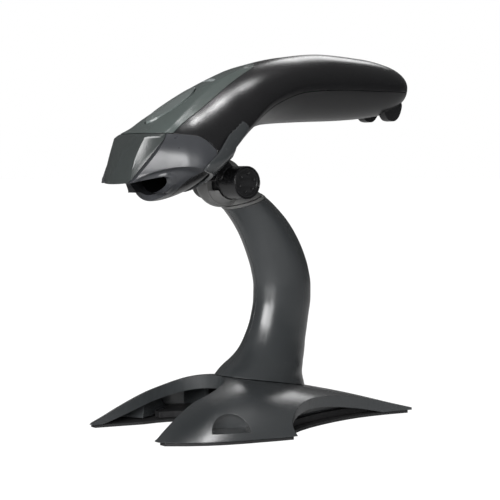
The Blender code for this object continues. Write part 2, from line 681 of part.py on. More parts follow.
def build_arm():
    """Black arm: a cross barrel on the tilt axis with a stalk up to the cradle."""
    stalk = [around_tilt(KNUCKLE_RADIUS - 0.2, degrees) for degrees in (178, 168, 158, 148)]
    stalk += STALK_TOP + [around_tilt(7, 90)]
    barrel = rod(BARREL_RADIUS, tilt_point(), (1, 0, 0), BARREL_FROM_X, BARREL_TO_X, 36)
    arm = add_object("cradle_arm", barrel, origin=tilt_point())
    cut(arm, prism(stalk, "X", *ARM_X), "UNION")
    cut(arm, skin(CRADLE_GAP + CRADLE_WALL + GAP, -70, 20, 20))
    cut(arm, rod(PIN_RADIUS + 0.05, tilt_point(), (1, 0, 0), -40, 40, 24))
    for side, end in ((-1, BARREL_FROM_X), (1, BARREL_TO_X)):
        low, high = sorted((end - side * CAP_SEAT, end + side * 20))
        cut(arm, rod(CAP_RADIUS + GAP, tilt_point(), (1, 0, 0), low, high, 28))
    for x, y in CRADLE_SCREWS:
        cut(arm, rod(1.25, (x, y, 0), (0, 0, 1), 118, 170, 12))
        cut(arm, rod(1.9, (x, y, 0), (0, 0, 1), screw_seat(y) - 4.2, 170, 12))
    finish_mesh(arm, "black_shell")


def build_knuckle():
    """Pale ball on top of the neck, in a far and a near housing, bored for the barrel."""
    profile = []
    for step in range(13):
        angle = math.radians(-86 + 172 * step / 12)
        profile.append((KNUCKLE_RADIUS * math.cos(angle), KNUCKLE_RADIUS * math.sin(angle)))
    low_deg, high_deg = KNUCKLE_SWEEP_DEG
    sweep_angles = [low_deg + (high_deg - low_deg) * step / 10 for step in range(11)]
    sweep = [around_tilt(KNUCKLE_SWEEP_RADIUS, degrees) for degrees in sweep_angles]
    sweep += [around_tilt(40, degrees) for degrees in (high_deg, 120, low_deg)]

    def housing(name, low_x, high_x, top_z):
        piece = add_object(name, turned(profile, tilt_point(), (1, 0, 0), 32))
        cut(piece, neck_solid(0, 100, NECK_TOP_Z, 9), "UNION")
        cut(piece, under_seam(0))
        cut(piece, box((low_x, -80, 60), (high_x, 80, top_z)), "INTERSECT")
        cut(piece, prism(sweep, "X", -60, 60))
        cut(piece, rod(BARREL_RADIUS + GAP, tilt_point(), (1, 0, 0), -60, 60, 36))
        finish_mesh(piece, "light_grey")

    housing("knuckle_far_housing", -60, KNUCKLE_SPLIT_X - GAP / 2, 170)
    housing("knuckle_near_housing", KNUCKLE_SPLIT_X + GAP / 2, 60, KNUCKLE_SHOULDER_Z)


def build_joint_hardware():
    """Pin, caps and washers on the tilt axis."""
    reach = CAP_SEAT + GAP
    pin = rod(PIN_RADIUS, tilt_point(), (1, 0, 0), BARREL_FROM_X + reach, BARREL_TO_X - reach, 24)
    part("tilt_pin", pin, "steel", origin=tilt_point())

    def cap(name, side):
        end = BARREL_TO_X if side > 0 else BARREL_FROM_X
        face = end - side * 0.3
        back = end - side * 2.1
        holes = []
        for index in range(CAP_HOLES):
            angle = 20 + 360 * index / CAP_HOLES
            y, z = around_tilt(CAP_HOLE_CIRCLE, angle)
            holes.append(rod(0.62, (0, y, z), (1, 0, 0), *sorted((face - side * 1.2, face + side * 5)), 8))
        low, high = sorted((face - side * 0.5, face + side * 5))
        dish = rod(CAP_RADIUS - 1.0, tilt_point(), (1, 0, 0), low, high, 28)
        part(name, rod(CAP_RADIUS, tilt_point(), (1, 0, 0), *sorted((back, face)), 28), "black_shell",
             cuts=[dish] + holes, origin=tilt_point())

    def washer(name, side):
        end = BARREL_TO_X if side > 0 else BARREL_FROM_X
        low, high = sorted((end - side * 2.4, end - side * (CAP_SEAT - GAP)))
        bore = rod(PIN_RADIUS + GAP, tilt_point(), (1, 0, 0), low - 5, high + 5, 20)
        part(name, rod(CAP_RADIUS - 0.6, tilt_point(), (1, 0, 0), low, high, 24), "steel",
             cuts=[bore], origin=tilt_point())

    pair("pivot_cap", cap)
    pair("spring_washer", washer)


def screw_seat(y):
    """Height of the cradle's inner face over a cradle screw."""
    return follow(BELLY_Z, y) - CRADLE_GAP


def build_cradle_screws():
    """Screws that hold the cradle on the arm."""
    for index, (x, y) in enumerate(CRADLE_SCREWS):
        base = screw_seat(y)
        part(f"cradle_screw_{index + 1}",
             turned([(0.8, base - 8.4), (1.2, base - 7.8), (1.2, base - 3.9), (1.6, base - 3.9),
                     (1.6, base - 2.6)], (x, y, 0), (0, 0, 1), 10), "steel")


# ================================================================ neck
def neck_ring(z, grow):
    """Horizontal slice of the neck."""
    centre = follow(NECK_CENTRE_Y, z)
    half_x = follow(NECK_HALF_X, z) + grow
    half_y = follow(NECK_HALF_Y, z) + grow * 1.25
    ring = []
    for step in range(NECK_POINTS):
        angle = 2 * math.pi * step / NECK_POINTS
        ring.append((half_x * math.cos(angle), centre + half_y * math.sin(angle), z))
    return ring


def neck_solid(grow=0.0, low=NECK_BOTTOM_Z, high=NECK_TOP_Z, stations=NECK_STATIONS):
    """Solid inside the neck's skin."""
    return loft([neck_ring(z, grow) for z in spread(low, high, stations, ease=0.25)])


def seam_side(offset, upwards):
    """(y, z) outline of one side of the leaning seam plane, moved up by offset along its normal."""
    lean = math.radians(SEAM_LEAN_DEG)
    normal = (-math.sin(lean), math.cos(lean))
    along = (math.cos(lean), math.sin(lean))
    centre = [SEAM_CENTRE[i] + normal[i] * offset for i in range(2)]
    depth = 200 if upwards else -200
    corners = [(-200, 0), (200, 0), (200, depth), (-200, depth)]
    return [tuple(centre[i] + along[i] * a + normal[i] * d for i in range(2)) for a, d in corners]


def under_seam(offset):
    """Everything under the seam plane."""
    return side_region(seam_side(offset, False))


def over_seam(offset):
    """Everything over the seam plane."""
    return side_region(seam_side(offset, True))


def build_neck():
    """Left and right halves of the curved neck, and the collar between neck and knuckle."""
    def half(name, side):
        low, high = sorted((side * GAP / 2, side * 60))
        inside = neck_solid(-NECK_WALL, NECK_BOTTOM_Z - 5, NECK_TOP_Z + 5)
        part(name, neck_solid(), "stand_grey",
             keeps=[box((low, -80, -5), (high, 80, 150))],
             cuts=[over_seam(-COLLAR_HEIGHT - 2 * GAP), inside, base_dome(GAP, 0)])

    pair("neck_half", half)
    bore = rod(COLLAR_BORE_RADIUS, (0, -6, 108), (0, -0.35, 0.94), -40, 60, 28)
    part("neck_collar", neck_solid(COLLAR_PROUD, 90, NECK_TOP_Z, 9), "light_grey",
         cuts=[over_seam(-GAP), under_seam(-GAP - COLLAR_HEIGHT), bore])


# ================================================================ base
def base_ring(y, grow, lower):
    """Slice of the base's dome at y, grown outwards or lowered, closed under the table."""
    half = follow(BASE_HALF_WIDTH, y) + grow
    top = max(follow(RIDGE_BASE_Z, y) + grow - lower, 0.2)
    power = follow(BASE_POWER, y)
    ring = []
    for step in range(21):
        x = half * math.cos(math.pi * step / 20)
        ring.append((x, y, top * max(1 - abs(x / half) ** power, 0.0)))
    ring += [(-half, y, -20.0), (half, y, -20.0)]
    return ring


def base_dome(grow=0.0, lower=0.0, low=BASE_FRONT_Y, high=BASE_REAR_Y):
    """The whole dome, before the notch and the side arcs are cut."""
    return loft([base_ring(y, grow, lower) for y in spread(low - grow, high + grow, 20, ease=0.3)])


def notch(grow=0.0):
    """Column that opens the front between the two prongs."""
    half = NOTCH_HALF_WIDTH + grow
    depth = NOTCH_APEX_Y - NOTCH_STRAIGHT_Y + grow
    flare = [(half + 7, BASE_FRONT_Y + 1), (half, NOTCH_STRAIGHT_Y - 1)]
    outline = [(half, -FAR), (half + 7, -FAR + 10)] + flare
    for step in range(19):
        angle = math.pi * step / 18
        outline.append((half * math.cos(angle), NOTCH_STRAIGHT_Y + depth * math.sin(angle)))
    outline += [(-x, y) for x, y in reversed(flare)] + [(-half - 7, -FAR + 10), (-half, -FAR)]
    return prism(outline, "Z", -30, 60)


def side_arc(side, grow=0.0):
    """Column that hollows one side of the base behind its wing."""
    centre_x, centre_y = SIDE_ARC_CENTRE
    reach_x, reach_y = SIDE_ARC_AXES[0] + grow, SIDE_ARC_AXES[1] + grow
    outline = []
    for step in range(19):
        angle = math.pi / 2 + math.pi * step / 18
        inwards = reach_x * abs(math.cos(angle)) ** (2 / SIDE_ARC_POWER)
        along = math.copysign(reach_y * abs(math.sin(angle)) ** (2 / SIDE_ARC_POWER), math.sin(angle))
        outline.append((side * (centre_x - inwards), centre_y + along))
    outline += [(side * FAR, centre_y - reach_y), (side * FAR, centre_y + reach_y)]
    return prism(outline, "Z", -30, 60)


def base_plan(z_low, z_high, inset):
    """Flat slab with the base's outline."""
    half = []
    for y in spread(BASE_FRONT_Y + inset * 1.6, BASE_REAR_Y - inset, 20):
        half.append((follow(BASE_HALF_WIDTH, y) - inset, y))
    return prism(half + [(-x, y) for x, y in reversed(half)], "Z", z_low, z_high)


def scoop(side, grow=0.0):
    """Half-moon pocket low on one flank, grown by grow for the wall around it."""
    x, y, z = SCOOP_CENTRE
    radius, height = SCOOP_RADIUS + grow, SCOOP_HEIGHT + 2 * grow
    turn = math.radians(SCOOP_TURN_DEG)
    inwards = Vector((-side * math.cos(turn), math.sin(turn), 0))
    across = Vector((math.sin(turn), side * math.cos(turn), 0))
    rings = []
    for along in (-20, SCOOP_DEPTH + grow):
        centre = Vector((side * x, y, z - grow)) + inwards * along
        ring = []
        for step in range(15):
            angle = math.pi * step / 14
            rise = Vector((0, 0, height * math.sin(angle)))
            ring.append(centre + across * (radius * math.cos(angle)) + rise)
        rings.append(ring)
    return loft(rings)


def add_scoop(shell, side):
    """Wall the scoop into the hollow shell, then open it."""
    wall = add_object("wall", scoop(side, BASE_WALL))
    cut(wall, base_dome(-0.6), "INTERSECT")
    apply_boolean(shell, wall, "UNION")
    cut(shell, scoop(side))


def add_rib(shell, side):
    """Cross wall under one wing, behind the prong."""
    low, high = sorted((side * RIB_X[0], side * RIB_X[1]))
    rib = add_object("rib", box((low, RIB_Y, RIB_BOTTOM_Z), (high, RIB_Y + BASE_WALL, 40)))
    cut(rib, base_dome(-0.6), "INTERSECT")
    apply_boolean(shell, rib, "UNION")


def build_base():
    """Base shell with its prongs, wings, skirts and scoops."""
    floor = GAP - RIM_HEIGHT + PAD_THICKNESS
    shell = add_object("base_shell", base_dome())
    cut(shell, box((-FAR, -FAR, floor), (FAR, FAR, FAR)), "INTERSECT")
    for tool in (notch(), side_arc(-1), side_arc(1)):
        cut(shell, tool)
    inner = add_object("inner", base_dome(-BASE_WALL, 0.4))
    for tool in (notch(BASE_WALL), side_arc(-1, BASE_WALL), side_arc(1, BASE_WALL)):
        cut(inner, tool)
    apply_boolean(shell, inner, "DIFFERENCE")
    cut(shell, base_dome(-BASE_WALL, SKIRT_DROP - BASE_WALL))
    for side in (-1, 1):
        add_scoop(shell, side)
        add_rib(shell, side)
    cut(shell, rod(5.0, (0, 3, 0), (0, 0, 1), 5, 60, 24))
    finish_mesh(shell, "stand_grey", 30)
    build_base_underside(floor)


def build_base_underside(floor):
    """Rubber sheet under the base and steel plate inside it."""
    part("base_pad", base_plan(-RIM_HEIGHT, PAD_THICKNESS - RIM_HEIGHT, 1.4), "rubber",
         cuts=[notch(1.4), side_arc(-1, 1.4), side_arc(1, 1.4)])
    part("weight_plate", base_plan(floor, floor + PLATE_THICKNESS, 10), "cast_dark",
         keeps=[base_dome(-BASE_WALL - 1, 1), box((-FAR, PLATE_FRONT_Y, -10), (FAR, FAR, 40))],
         cuts=[notch(5), side_arc(-1, 6), side_arc(1, 6), scoop(-1, 4), scoop(1, 4)]
         + [rod(1.9, (x, y, 0), (0, 0, 1), -5, 20, 12) for x, y in PLATE_SCREWS])
    for index, (x, y) in enumerate(PLATE_SCREWS):
        profile = [(1.4, floor + 7.5), (1.6, floor + 7), (1.6, floor + 1.9), (1.6, floor + 0.2), (1.5, floor)]
        part(f"plate_screw_{index + 1}", turned(profile, (x, y, 0), (0, 0, 1), 10), "steel")


def main():
    start_empty()
    build_base()
    build_neck()
    build_knuckle()
    build_arm()
    build_joint_hardware()
    build_cradle()
    build_cradle_screws()
    build_handle_shells()
    build_cable_socket()
    build_top_cover()
    build_trigger_button()
    build_indicator_lens()
    build_nose_bezel()
    build_visor()
    build_scan_window()
    build_optics()
    build_electronics()
    build_housing_screws()


main()
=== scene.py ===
"""Looks of the handheld barcode scanner in its presentation stand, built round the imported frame.

Shapes are given in millimetres over the base shell's rim, which stands RIM_HEIGHT over the table.
Every visible shell is rebuilt at a finer step than its CAD node and replaces it.
"""
import math

import bmesh
import bpy
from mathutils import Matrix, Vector

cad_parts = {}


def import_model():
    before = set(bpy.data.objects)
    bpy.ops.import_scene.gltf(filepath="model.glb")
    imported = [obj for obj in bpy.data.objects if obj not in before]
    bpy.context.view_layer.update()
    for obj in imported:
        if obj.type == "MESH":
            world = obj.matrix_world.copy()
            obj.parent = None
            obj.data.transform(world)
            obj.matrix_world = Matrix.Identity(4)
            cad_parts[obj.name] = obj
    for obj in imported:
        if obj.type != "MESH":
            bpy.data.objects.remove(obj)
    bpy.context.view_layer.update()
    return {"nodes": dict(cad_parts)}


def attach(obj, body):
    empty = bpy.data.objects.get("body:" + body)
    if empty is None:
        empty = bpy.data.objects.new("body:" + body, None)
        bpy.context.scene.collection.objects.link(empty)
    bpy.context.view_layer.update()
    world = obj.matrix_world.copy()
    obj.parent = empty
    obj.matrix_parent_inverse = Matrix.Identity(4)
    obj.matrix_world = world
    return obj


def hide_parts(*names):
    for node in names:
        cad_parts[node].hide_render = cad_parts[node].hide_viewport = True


MM = 0.001
GAP = 0.3                      # clearance between neighbouring pieces
FAR = 150.0                    # reach of a cutter beyond the object
RIM_HEIGHT = 1.5               # height of the base shell's rim over the table

# ---------------------------------------------------------------- scanner skin, (y, value) from nose to tail
RIDGE_Z = [(-84, 133), (-74, 143.6), (-66, 147.8), (-57, 154), (-45, 161.6), (-27, 171.3), (-4, 180.1),
           (18, 185), (46, 188), (72, 187), (88, 184.6), (97, 181.4), (101.6, 177.4), (105, 173.6)]
BELLY_Z = [(-84, 118.4), (-70, 113.2), (-61, 111.7), (-49, 114.2), (-39, 121.4), (-28.5, 130.6),
           (-18.5, 139.5), (-8, 146.2), (6, 150.2), (30, 152), (60, 153.6), (86, 156.6), (95, 160),
           (101, 164), (105, 170.6)]
FLANK_Z = [(-84, 127), (-58, 128.6), (-47, 130), (-36, 136.5), (-22, 148), (-2, 162), (20, 169),
           (46, 171), (80, 171.5), (105, 172)]
HALF_WIDTH = [(-84, 12), (-79.5, 15), (-73, 19), (-66, 23.5), (-58, 29), (-50, 32.4), (-43, 33), (-34, 32),
              (-20, 28.4), (0, 24.6), (22, 22.4), (50, 21.4), (80, 19.6), (91, 17.4), (98, 13.8),
              (102.6, 8.6), (105, 3)]
UPPER_POWER = [(-84, 3.6), (-71, 3.1), (-61, 2.2), (-47, 1.8), (-25, 1.72), (10, 1.95), (60, 2.1), (105, 2.1)]
LOWER_POWER = [(-84, 3.0), (-74, 2.4), (-68, 1.9), (-60, 1.6), (-52, 1.48), (-40, 1.45), (-20, 1.6),
               (10, 1.95), (90, 2.2), (105, 2.2)]
NOSE_Y = -84.0
TAIL_Y = 105.0
SKIN_POINTS = 144                  # points round one slice of the plain skin
SKIN_STEPS = [(NOSE_Y, -30, 76), (-30, 88, 48), (88, TAIL_Y, 22)]   # (from, to, slices) of the detailed skin
RIDGE_POINTS, FACET_POINTS, SHOULDER_POINTS = 15, 6, 16             # points down one side of a slice
CHEEK_POINTS, BELLY_POINTS = 9, 40
SHELL_WALL = 2.2

COVER_CREASE_X = [(-72, 19), (-66.6, 18.1), (-54.7, 15.1), (-38.9, 9.6), (-23.1, 6.6), (-8.9, 5.4), (0, 3)]
COVER_SEAM_X = [(-72, 20.6), (-62.5, 20), (-46.5, 17.6), (-34.8, 15.7), (-22.5, 12.6), (-10.8, 10),
                (-5.1, 8.3), (-1, 4.5), (1, 0)]
CREASE_RISE = 0.45                 # the cover's crease stands this far over the plain skin
CHEEK_CREASE_Z = [(-79, 122.6), (-74.8, 124.8), (-68.2, 127), (-60.7, 128.2), (-49.9, 127), (-42, 124)]
CHEEK_TUCK = 3.4                   # the skin steps in by this under the cheek's crease
CHEEK_TUCK_FADE = [(-82, 0), (-76, 0.7), (-68, 1), (-56, 0.9), (-46, 0.25), (-41, 0)]
TUCK_PROFILE = [(0, 0), (0.8, 0.5), (2.4, 1), (6, 0.85), (13, 0)]  # (depth under the crease, share)
CREASE_FADE = [(-84, 0), (-74, 1), (-12, 1), (-2, 0)]              # (y, share of the cover's facets)
MOUTH_RIM_WIDTH = 3.0              # the rolled rim round the mouth
MOUTH_RIM_RISE = 1.3
BEZEL_WALL = 3.0

FACE_TOP = (-73.2, 144.0)          # (y, z) of the front face's upper edge
FACE_BOTTOM = (-83.2, 120.0)
FACE_SAG = (0.4, 2.4)              # how far the face's edges stand behind its middle, at its top and bottom
FACE_HALF_WIDTH = 11.5
FACE_BULGE = 1.2                   # the face bows forward by this at mid height
VISOR_SEAM_TOP = (-65.0, 143.6)    # the seam that runs down the visor's side
VISOR_SEAM_BOTTOM = (-80.4, 121.6)
LEDGE_Z = 144.0                    # flat top of the visor
BEVEL_POINT = (13.6, -72.8, 143.8)  # top front corner of the visor's side bevel
BEVEL_NORMAL = (0.721, -0.670, 0.175)
NOSE_BORDER = [(-64, 144), (-57.8, 143.4), (-53.7, 143), (-49.9, 141.3), (-46.8, 138.1), (-45.2, 135.5),
               (-47, 130), (-51, 125.5), (-54.7, 122.5), (-56.6, 119), (-57.4, 115.9), (-57.2, 90)]
MOUTH_OUTLINE = [(-95, 119.6), (-84, 119.8), (-72, 122.6), (-66, 123.6), (-64, 122.6), (-62.8, 119.8),
                 (-63.6, 116.8), (-65.6, 115.3), (-95, 115.3)]
LIP_FRONT_Y = -62.6                # front of the mouth's lower lip
LIP_BOW = 0.01                     # the lip's edge falls back by this times x squared
LIP_TOP_Z = 115.3
COVER_SIDE = [(-72.6, 144.3), (-20, 144.3), (6, 165), (6, 230), (-72.6, 230)]
PARTING_DROP = 2.5                 # the handle's seam runs this far under the widest line
WINDOW_SLAB = [(-77.8, 122.6), (-62.5, 125.8), (-62.5, 127.4), (-77.8, 124.2)]
VISOR_POCKET_HALF_X = 9.5
VISOR_POCKET_REAR_Y = -50.0
VISOR_POCKET_FLOOR_Z = 123.5
EAR_OUTLINE = [(82, 161.5), (84.5, 156.3), (87.1, 154.1), (90.4, 153.7), (93.1, 155), (95.3, 158),
               (96.6, 162.5), (92, 168)]
EAR_X = (6.4, 11.4)
SOCKET_HALF = (5.2, 3.35)             # half width and half height of the cable socket
SOCKET_MOUTH_HALF = (3.9, 2.5)
SOCKET_CENTRE_Z = 166.85
SOCKET_Y = 90.0
SOCKET_FLOOR_Y = 95.0
BUTTON_CENTRE_Y = -49.5
BUTTON_HALF = (6.6, 14.0)
BUTTON_RISE = 0.9                     # the button's top stands this far over the cover
BUTTON_POINTS = 72
LENS_CENTRE_Y = -26.1
LENS_HALF = (4.2, 1.3)
LENS_RISE = 0.25

# ---------------------------------------------------------------- tilt joint and cradle
TILT_Y = -18.9
TILT_Z = 120.7
BARREL_RADIUS = 8.2
BARREL_X = (-14.0, 22.0)
KNUCKLE_RADIUS = 12.4
KNUCKLE_SPLIT_X = 4.2
KNUCKLE_SHOULDER_Z = 116.8
KNUCKLE_SWEEP_RADIUS = 11.4
KNUCKLE_SWEEP_DEG = (70, 170)
ARM_X = (4.7, 12.2)
SEAM_CENTRE = (-10.3, 110.7)
SEAM_LEAN_DEG = 20.0
PIN_RADIUS = 2.5
CAP_RADIUS = 7.3
CAP_SEAT = 3.4
CAP_HOLES = 6
CAP_HOLE_CIRCLE = 4.6
CAP_HOLE_RADIUS = 0.95
CRADLE_SCREWS = [(8.4, -28.0), (8.4, -21.5)]
SCREW_HEAD_RADIUS = 1.9
SCREW_HEAD_DEPTH = 4.2
SCREW_THREAD_RADIUS = 1.25
CRADLE_GAP = 0.4
CRADLE_WALL = 2.4
CRADLE_PROFILE = [(-43, 100), (-42.6, 119), (-43.6, 122), (-46.5, 124.4), (-50.4, 125.6), (-52.8, 126.8),
                  (-52.2, 128.6), (-49, 131.8), (-45.2, 135.3), (-42.4, 139.1), (-39.2, 143),
                  (-35.7, 147.4), (-32.6, 150.8), (-31, 151.6), (-28, 150), (-25.4, 147.2), (-28.6, 143.8),
                  (-32.4, 140.2), (-35.4, 137.2), (-36, 134.8), (-33.5, 133.4), (-28, 134.4), (-20, 138.6),
                  (-12, 142), (-8.8, 139), (-8.8, 100)]

# ---------------------------------------------------------------- stand
RIDGE_BASE_Z = [(-78, 3.0), (-73, 7.2), (-61, 13.2), (-43, 19.4), (-20, 22.8), (0, 20.8), (20, 16.8),
                (34, 13.8), (48, 10.8), (61, 7.4), (72, 4.2), (80, 1.9)]
BASE_HALF_WIDTH = [(-78, 31.5), (-73, 36.5), (-67, 40.6), (-60, 45), (-48, 50.2), (-36, 53.6), (-15, 58.2),
                   (10, 59), (80, 58)]
BASE_POWER = [(-78, 2.2), (-20, 2.5), (30, 3.2), (80, 3.4)]
BASE_FRONT_Y = -78.0
BASE_REAR_Y = 80.0
BASE_FLOOR_Z = 0.2
NOTCH_HALF_WIDTH = 20.4
NOTCH_STRAIGHT_Y = -50.0
NOTCH_APEX_Y = -19.4
SIDE_ARC_CENTRE = (55.6, 47.6)
SIDE_ARC_AXES = (23.2, 64.0)
SIDE_ARC_POWER = 1.7
BASE_WALL = 2.2
SKIRT_DROP = 6.8
SCOOP_CENTRE = (47.0, -47.5, 3.2)
SCOOP_RADIUS = 9.4
SCOOP_HEIGHT = 7.6
SCOOP_TURN_DEG = 28.0
SCOOP_DEPTH = 16.0
RIB_X = (20.0, 46.0)
RIB_Y = -14.0
RIB_BOTTOM_Z = 3.9
WEB_INSET = 9.0                       # the web inside the shell stands this far in from the side arc
WEB_BOTTOM_Z = 0.6
NECK_CENTRE_Y = [(8, 2.4), (18, 4.2), (22, 5.4), (27, 8.3), (31, 11.7), (35, 14.2), (40, 16.2), (46, 18.3),
                 (52, 19.8), (60, 21.2), (67, 21.3), (76, 19.6), (84, 16.6), (92.6, 12.2), (101, 6.2),
                 (109, -1.6), (116, -8.8), (121, -14)]
NECK_HALF_X = [(8, 22), (20, 18.2), (24, 17.2), (31, 14), (40, 12.2), (52, 11.4), (66, 11.4), (90, 12),
               (112, 12.2), (117, 11), (121, 7)]
NECK_HALF_Y = [(8, 31), (16, 28.4), (22, 25.6), (27, 23.8), (31, 21.6), (35, 19.8), (40, 18.5), (52, 17.2),
               (66, 17), (80, 16.8), (95, 16), (107, 15), (113, 13.2), (117, 10), (121, 5)]
NECK_POINTS = 96                      # points round one slice of the neck
NECK_WALL = 2.4
NECK_Z = (8.0, 121.0)
COLLAR_HEIGHT = 1.5
COLLAR_PROUD = 0.25
COLLAR_BORE_RADIUS = 8.5

# ---------------------------------------------------------------- materials, in metres and features per metre
DRIFT_SCALE = 38.0                    # slow drift of the colour
GLOSS_SCALE = 120.0                   # uneven gloss
COAT_ROUGHNESS = 0.22
WORN_FROM = (0.53, 0.62)              # pointiness at which a corner starts to look rubbed, and is fully so
WORN_SHARE = 0.35
EDGE_ROUND = 0.0004

# ---------------------------------------------------------------- studio, in metres and watts
LIGHTS = [("key", (0.72, -1.08, 0.44), (0, 0, 0.1), (0.7, 0.5), 15),
          ("strip", (1.16, -0.76, 0.38), (0, 0, 0.14), (0.2, 0.6), 6),
          ("overhead", (0, 0.16, 1.45), (0, 0, 0.1), (0.13, 0.13), 3.4),
          ("rim", (-0.75, 0.95, 1.05), (0, 0, 0.1), (0.5, 0.5), 3)]
WORLD_LOW = 0.06                      # grey of the studio in reflections, near the floor
WORLD_HIGH = 0.22                     # and overhead
FLOOR_REACH = 60.0
FLOOR_GLOW = 1.15                     # the floor glows to white for the camera only
FLOOR_GLOW_SHARE = 0.9

CAMERA_PLACE = (0.56235, -0.44178, 0.12477)
CAMERA_SENSOR_MM = 36
CAMERA_AZIMUTH_DEG = 51.85
CAMERA_PITCH_DEG = 2.976
CAMERA_LENS_MM = 100.54


# ================================================================ materials
def node(tree, kind, **settings):
    """New shader node with attributes and unlinked inputs set."""
    made = tree.nodes.new(kind)
    for name, value in settings.items():
        if name in made.inputs:
            made.inputs[name].default_value = value
        else:
            setattr(made, name, value)
    return made


def noise(tree, scale, detail=3.0, roughness=0.55):
    """Noise in object space, with scale in features per metre."""
    place = node(tree, "ShaderNodeTexCoord")
    made = node(tree, "ShaderNodeTexNoise", Scale=scale, Detail=detail, Roughness=roughness)
    tree.links.new(place.outputs["Object"], made.inputs["Vector"])
    return made.outputs["Fac"]


def between(tree, factor, low, high):
    """Map a 0..1 factor to the range low..high."""
    made = node(tree, "ShaderNodeMapRange")
    made.inputs["From Min"].default_value = 0.3
    made.inputs["From Max"].default_value = 0.7
    made.inputs["To Min"].default_value = low
    made.inputs["To Max"].default_value = high
    tree.links.new(factor, made.inputs["Value"])
    return made.outputs["Result"]


def tinted(tree, factor, colour, spread_by):
    """Colour that drifts a little darker and lighter with the factor."""
    made = node(tree, "ShaderNodeValToRGB")
    made.color_ramp.elements[0].position = 0.3
    made.color_ramp.elements[1].position = 0.7
    made.color_ramp.elements[0].color = (*[c * (1 - spread_by) for c in colour], 1)
    made.color_ramp.elements[1].color = (*[c * (1 + spread_by) for c in colour], 1)
    tree.links.new(factor, made.inputs["Fac"])
    return made.outputs["Color"]


def surface(name, colour, roughness, metallic=0.0, drift=0.06, grain=5200.0, depth=0.00002, coat=0.0,
            clear=0.0):
    """Procedural material: colour drift, uneven gloss, fine grain, softened edges and rubbed corners."""
    made = bpy.data.materials.new(name)
    made.use_nodes = True
    tree = made.node_tree
    shader = tree.nodes["Principled BSDF"]
    shader.inputs["Metallic"].default_value = metallic
    shader.inputs["Coat Weight"].default_value = coat
    shader.inputs["Coat Roughness"].default_value = COAT_ROUGHNESS
    shader.inputs["Transmission Weight"].default_value = clear
    base = tinted(tree, noise(tree, DRIFT_SCALE), colour, drift)
    rub = node(tree, "ShaderNodeNewGeometry")
    worn = node(tree, "ShaderNodeMapRange")
    worn.inputs["From Min"].default_value = WORN_FROM[0]
    worn.inputs["From Max"].default_value = WORN_FROM[1]
    worn.inputs["To Max"].default_value = WORN_SHARE
    tree.links.new(rub.outputs["Pointiness"], worn.inputs["Value"])
    edge = node(tree, "ShaderNodeMix", data_type="RGBA")
    edge.inputs[7].default_value = (*[min(c * 1.7 + 0.01, 1.0) for c in colour], 1)
    tree.links.new(worn.outputs["Result"], edge.inputs[0])
    tree.links.new(base, edge.inputs[6])
    tree.links.new(edge.outputs[2], shader.inputs["Base Color"])
    gloss = between(tree, noise(tree, GLOSS_SCALE, 5.0), roughness * 0.9, roughness * 1.12)
    tree.links.new(gloss, shader.inputs["Roughness"])
    soft = node(tree, "ShaderNodeBevel", samples=4, Radius=EDGE_ROUND)
    bump = node(tree, "ShaderNodeBump", Strength=1.0, Distance=depth)
    tree.links.new(noise(tree, grain, 2.0), bump.inputs["Height"])
    tree.links.new(soft.outputs["Normal"], bump.inputs["Normal"])
    tree.links.new(bump.outputs["Normal"], shader.inputs["Normal"])
    return made


def make_looks():
    """One procedural material for each material slot of the record."""
    return {
        "black_shell": surface("black_shell_look", (0.0075, 0.0075, 0.0082), 0.24, grain=7000,
                               depth=0.00001),
        "cover_grey": surface("cover_look", (0.075, 0.092, 0.087), 0.24, coat=0.15),
        "nose_grey": surface("nose_look", (0.04, 0.042, 0.047), 0.3, coat=0.3),
        "visor_grey": surface("visor_look", (0.04, 0.046, 0.045), 0.2, coat=0.3),
        "stand_grey": surface("stand_look", (0.033, 0.036, 0.038), 0.24,
                              coat=0.35, grain=4200, depth=0.00003),
        "light_grey": surface("knuckle_look", (0.13, 0.13, 0.128), 0.34),
        "button_grey": surface("button_look", (0.13, 0.15, 0.145), 0.2, coat=0.3),
        # painted shade: the weight plate's casting is coloured near black to stand in for the shade inside
        # the base
        "cast_dark": surface("casting_look", (0.02, 0.02, 0.021), 0.6, 0.5,
                             drift=0.3, grain=1500, depth=0.0001),
        "rubber": surface("rubber_look", (0.012, 0.012, 0.013), 0.75, drift=0.2, grain=2500, depth=0.00006),
        "steel": surface("steel_look", (0.5, 0.51, 0.52), 0.28, 1.0),
        "window": surface("window_look", (0.012, 0.003, 0.004), 0.06, coat=0.6),
        "lens": surface("lens_look", (0.42, 0.46, 0.46), 0.1, clear=0.35),
        "board": surface("board_look", (0.015, 0.09, 0.04), 0.45, drift=0.25),
        "brass": surface("brass_look", (0.62, 0.42, 0.16), 0.3, 1.0),
        "mirror": surface("mirror_look", (0.85, 0.86, 0.88), 0.03, 1.0, drift=0.01, depth=0.000002),
        "dark_plastic": surface("dark_plastic_look", (0.018, 0.018, 0.02), 0.45),
    }


# ================================================================ curves and meshes
def follow(stations, at):
    """Value of a smooth curve through (position, value) stations."""
    if at <= stations[0][0]:
        return stations[0][1]
    if at >= stations[-1][0]:
        return stations[-1][1]
    index = 0
    while stations[index + 1][0] < at:
        index += 1
    slopes = [slope_at(stations, index), slope_at(stations, index + 1)]
    (x0, v0), (x1, v1) = stations[index], stations[index + 1]
    span = x1 - x0
    t = (at - x0) / span
    rise = t * t * (3 - 2 * t)
    return (v0 * (1 - rise) + v1 * rise
            + slopes[0] * span * t * (1 - t) ** 2
            - slopes[1] * span * t * t * (1 - t))


def slope_at(stations, index):
    """Slope at a station, flat where the curve turns."""
    low = max(index - 1, 0)
    high = min(index + 1, len(stations) - 1)
    if low == index or high == index:
        return (stations[high][1] - stations[low][1]) / (stations[high][0] - stations[low][0])
    before = (stations[index][1] - stations[low][1]) / (stations[index][0] - stations[low][0])
    after = (stations[high][1] - stations[index][1]) / (stations[high][0] - stations[index][0])
    if before * after <= 0:
        return 0.0
    return 2 * before * after / (before + after)


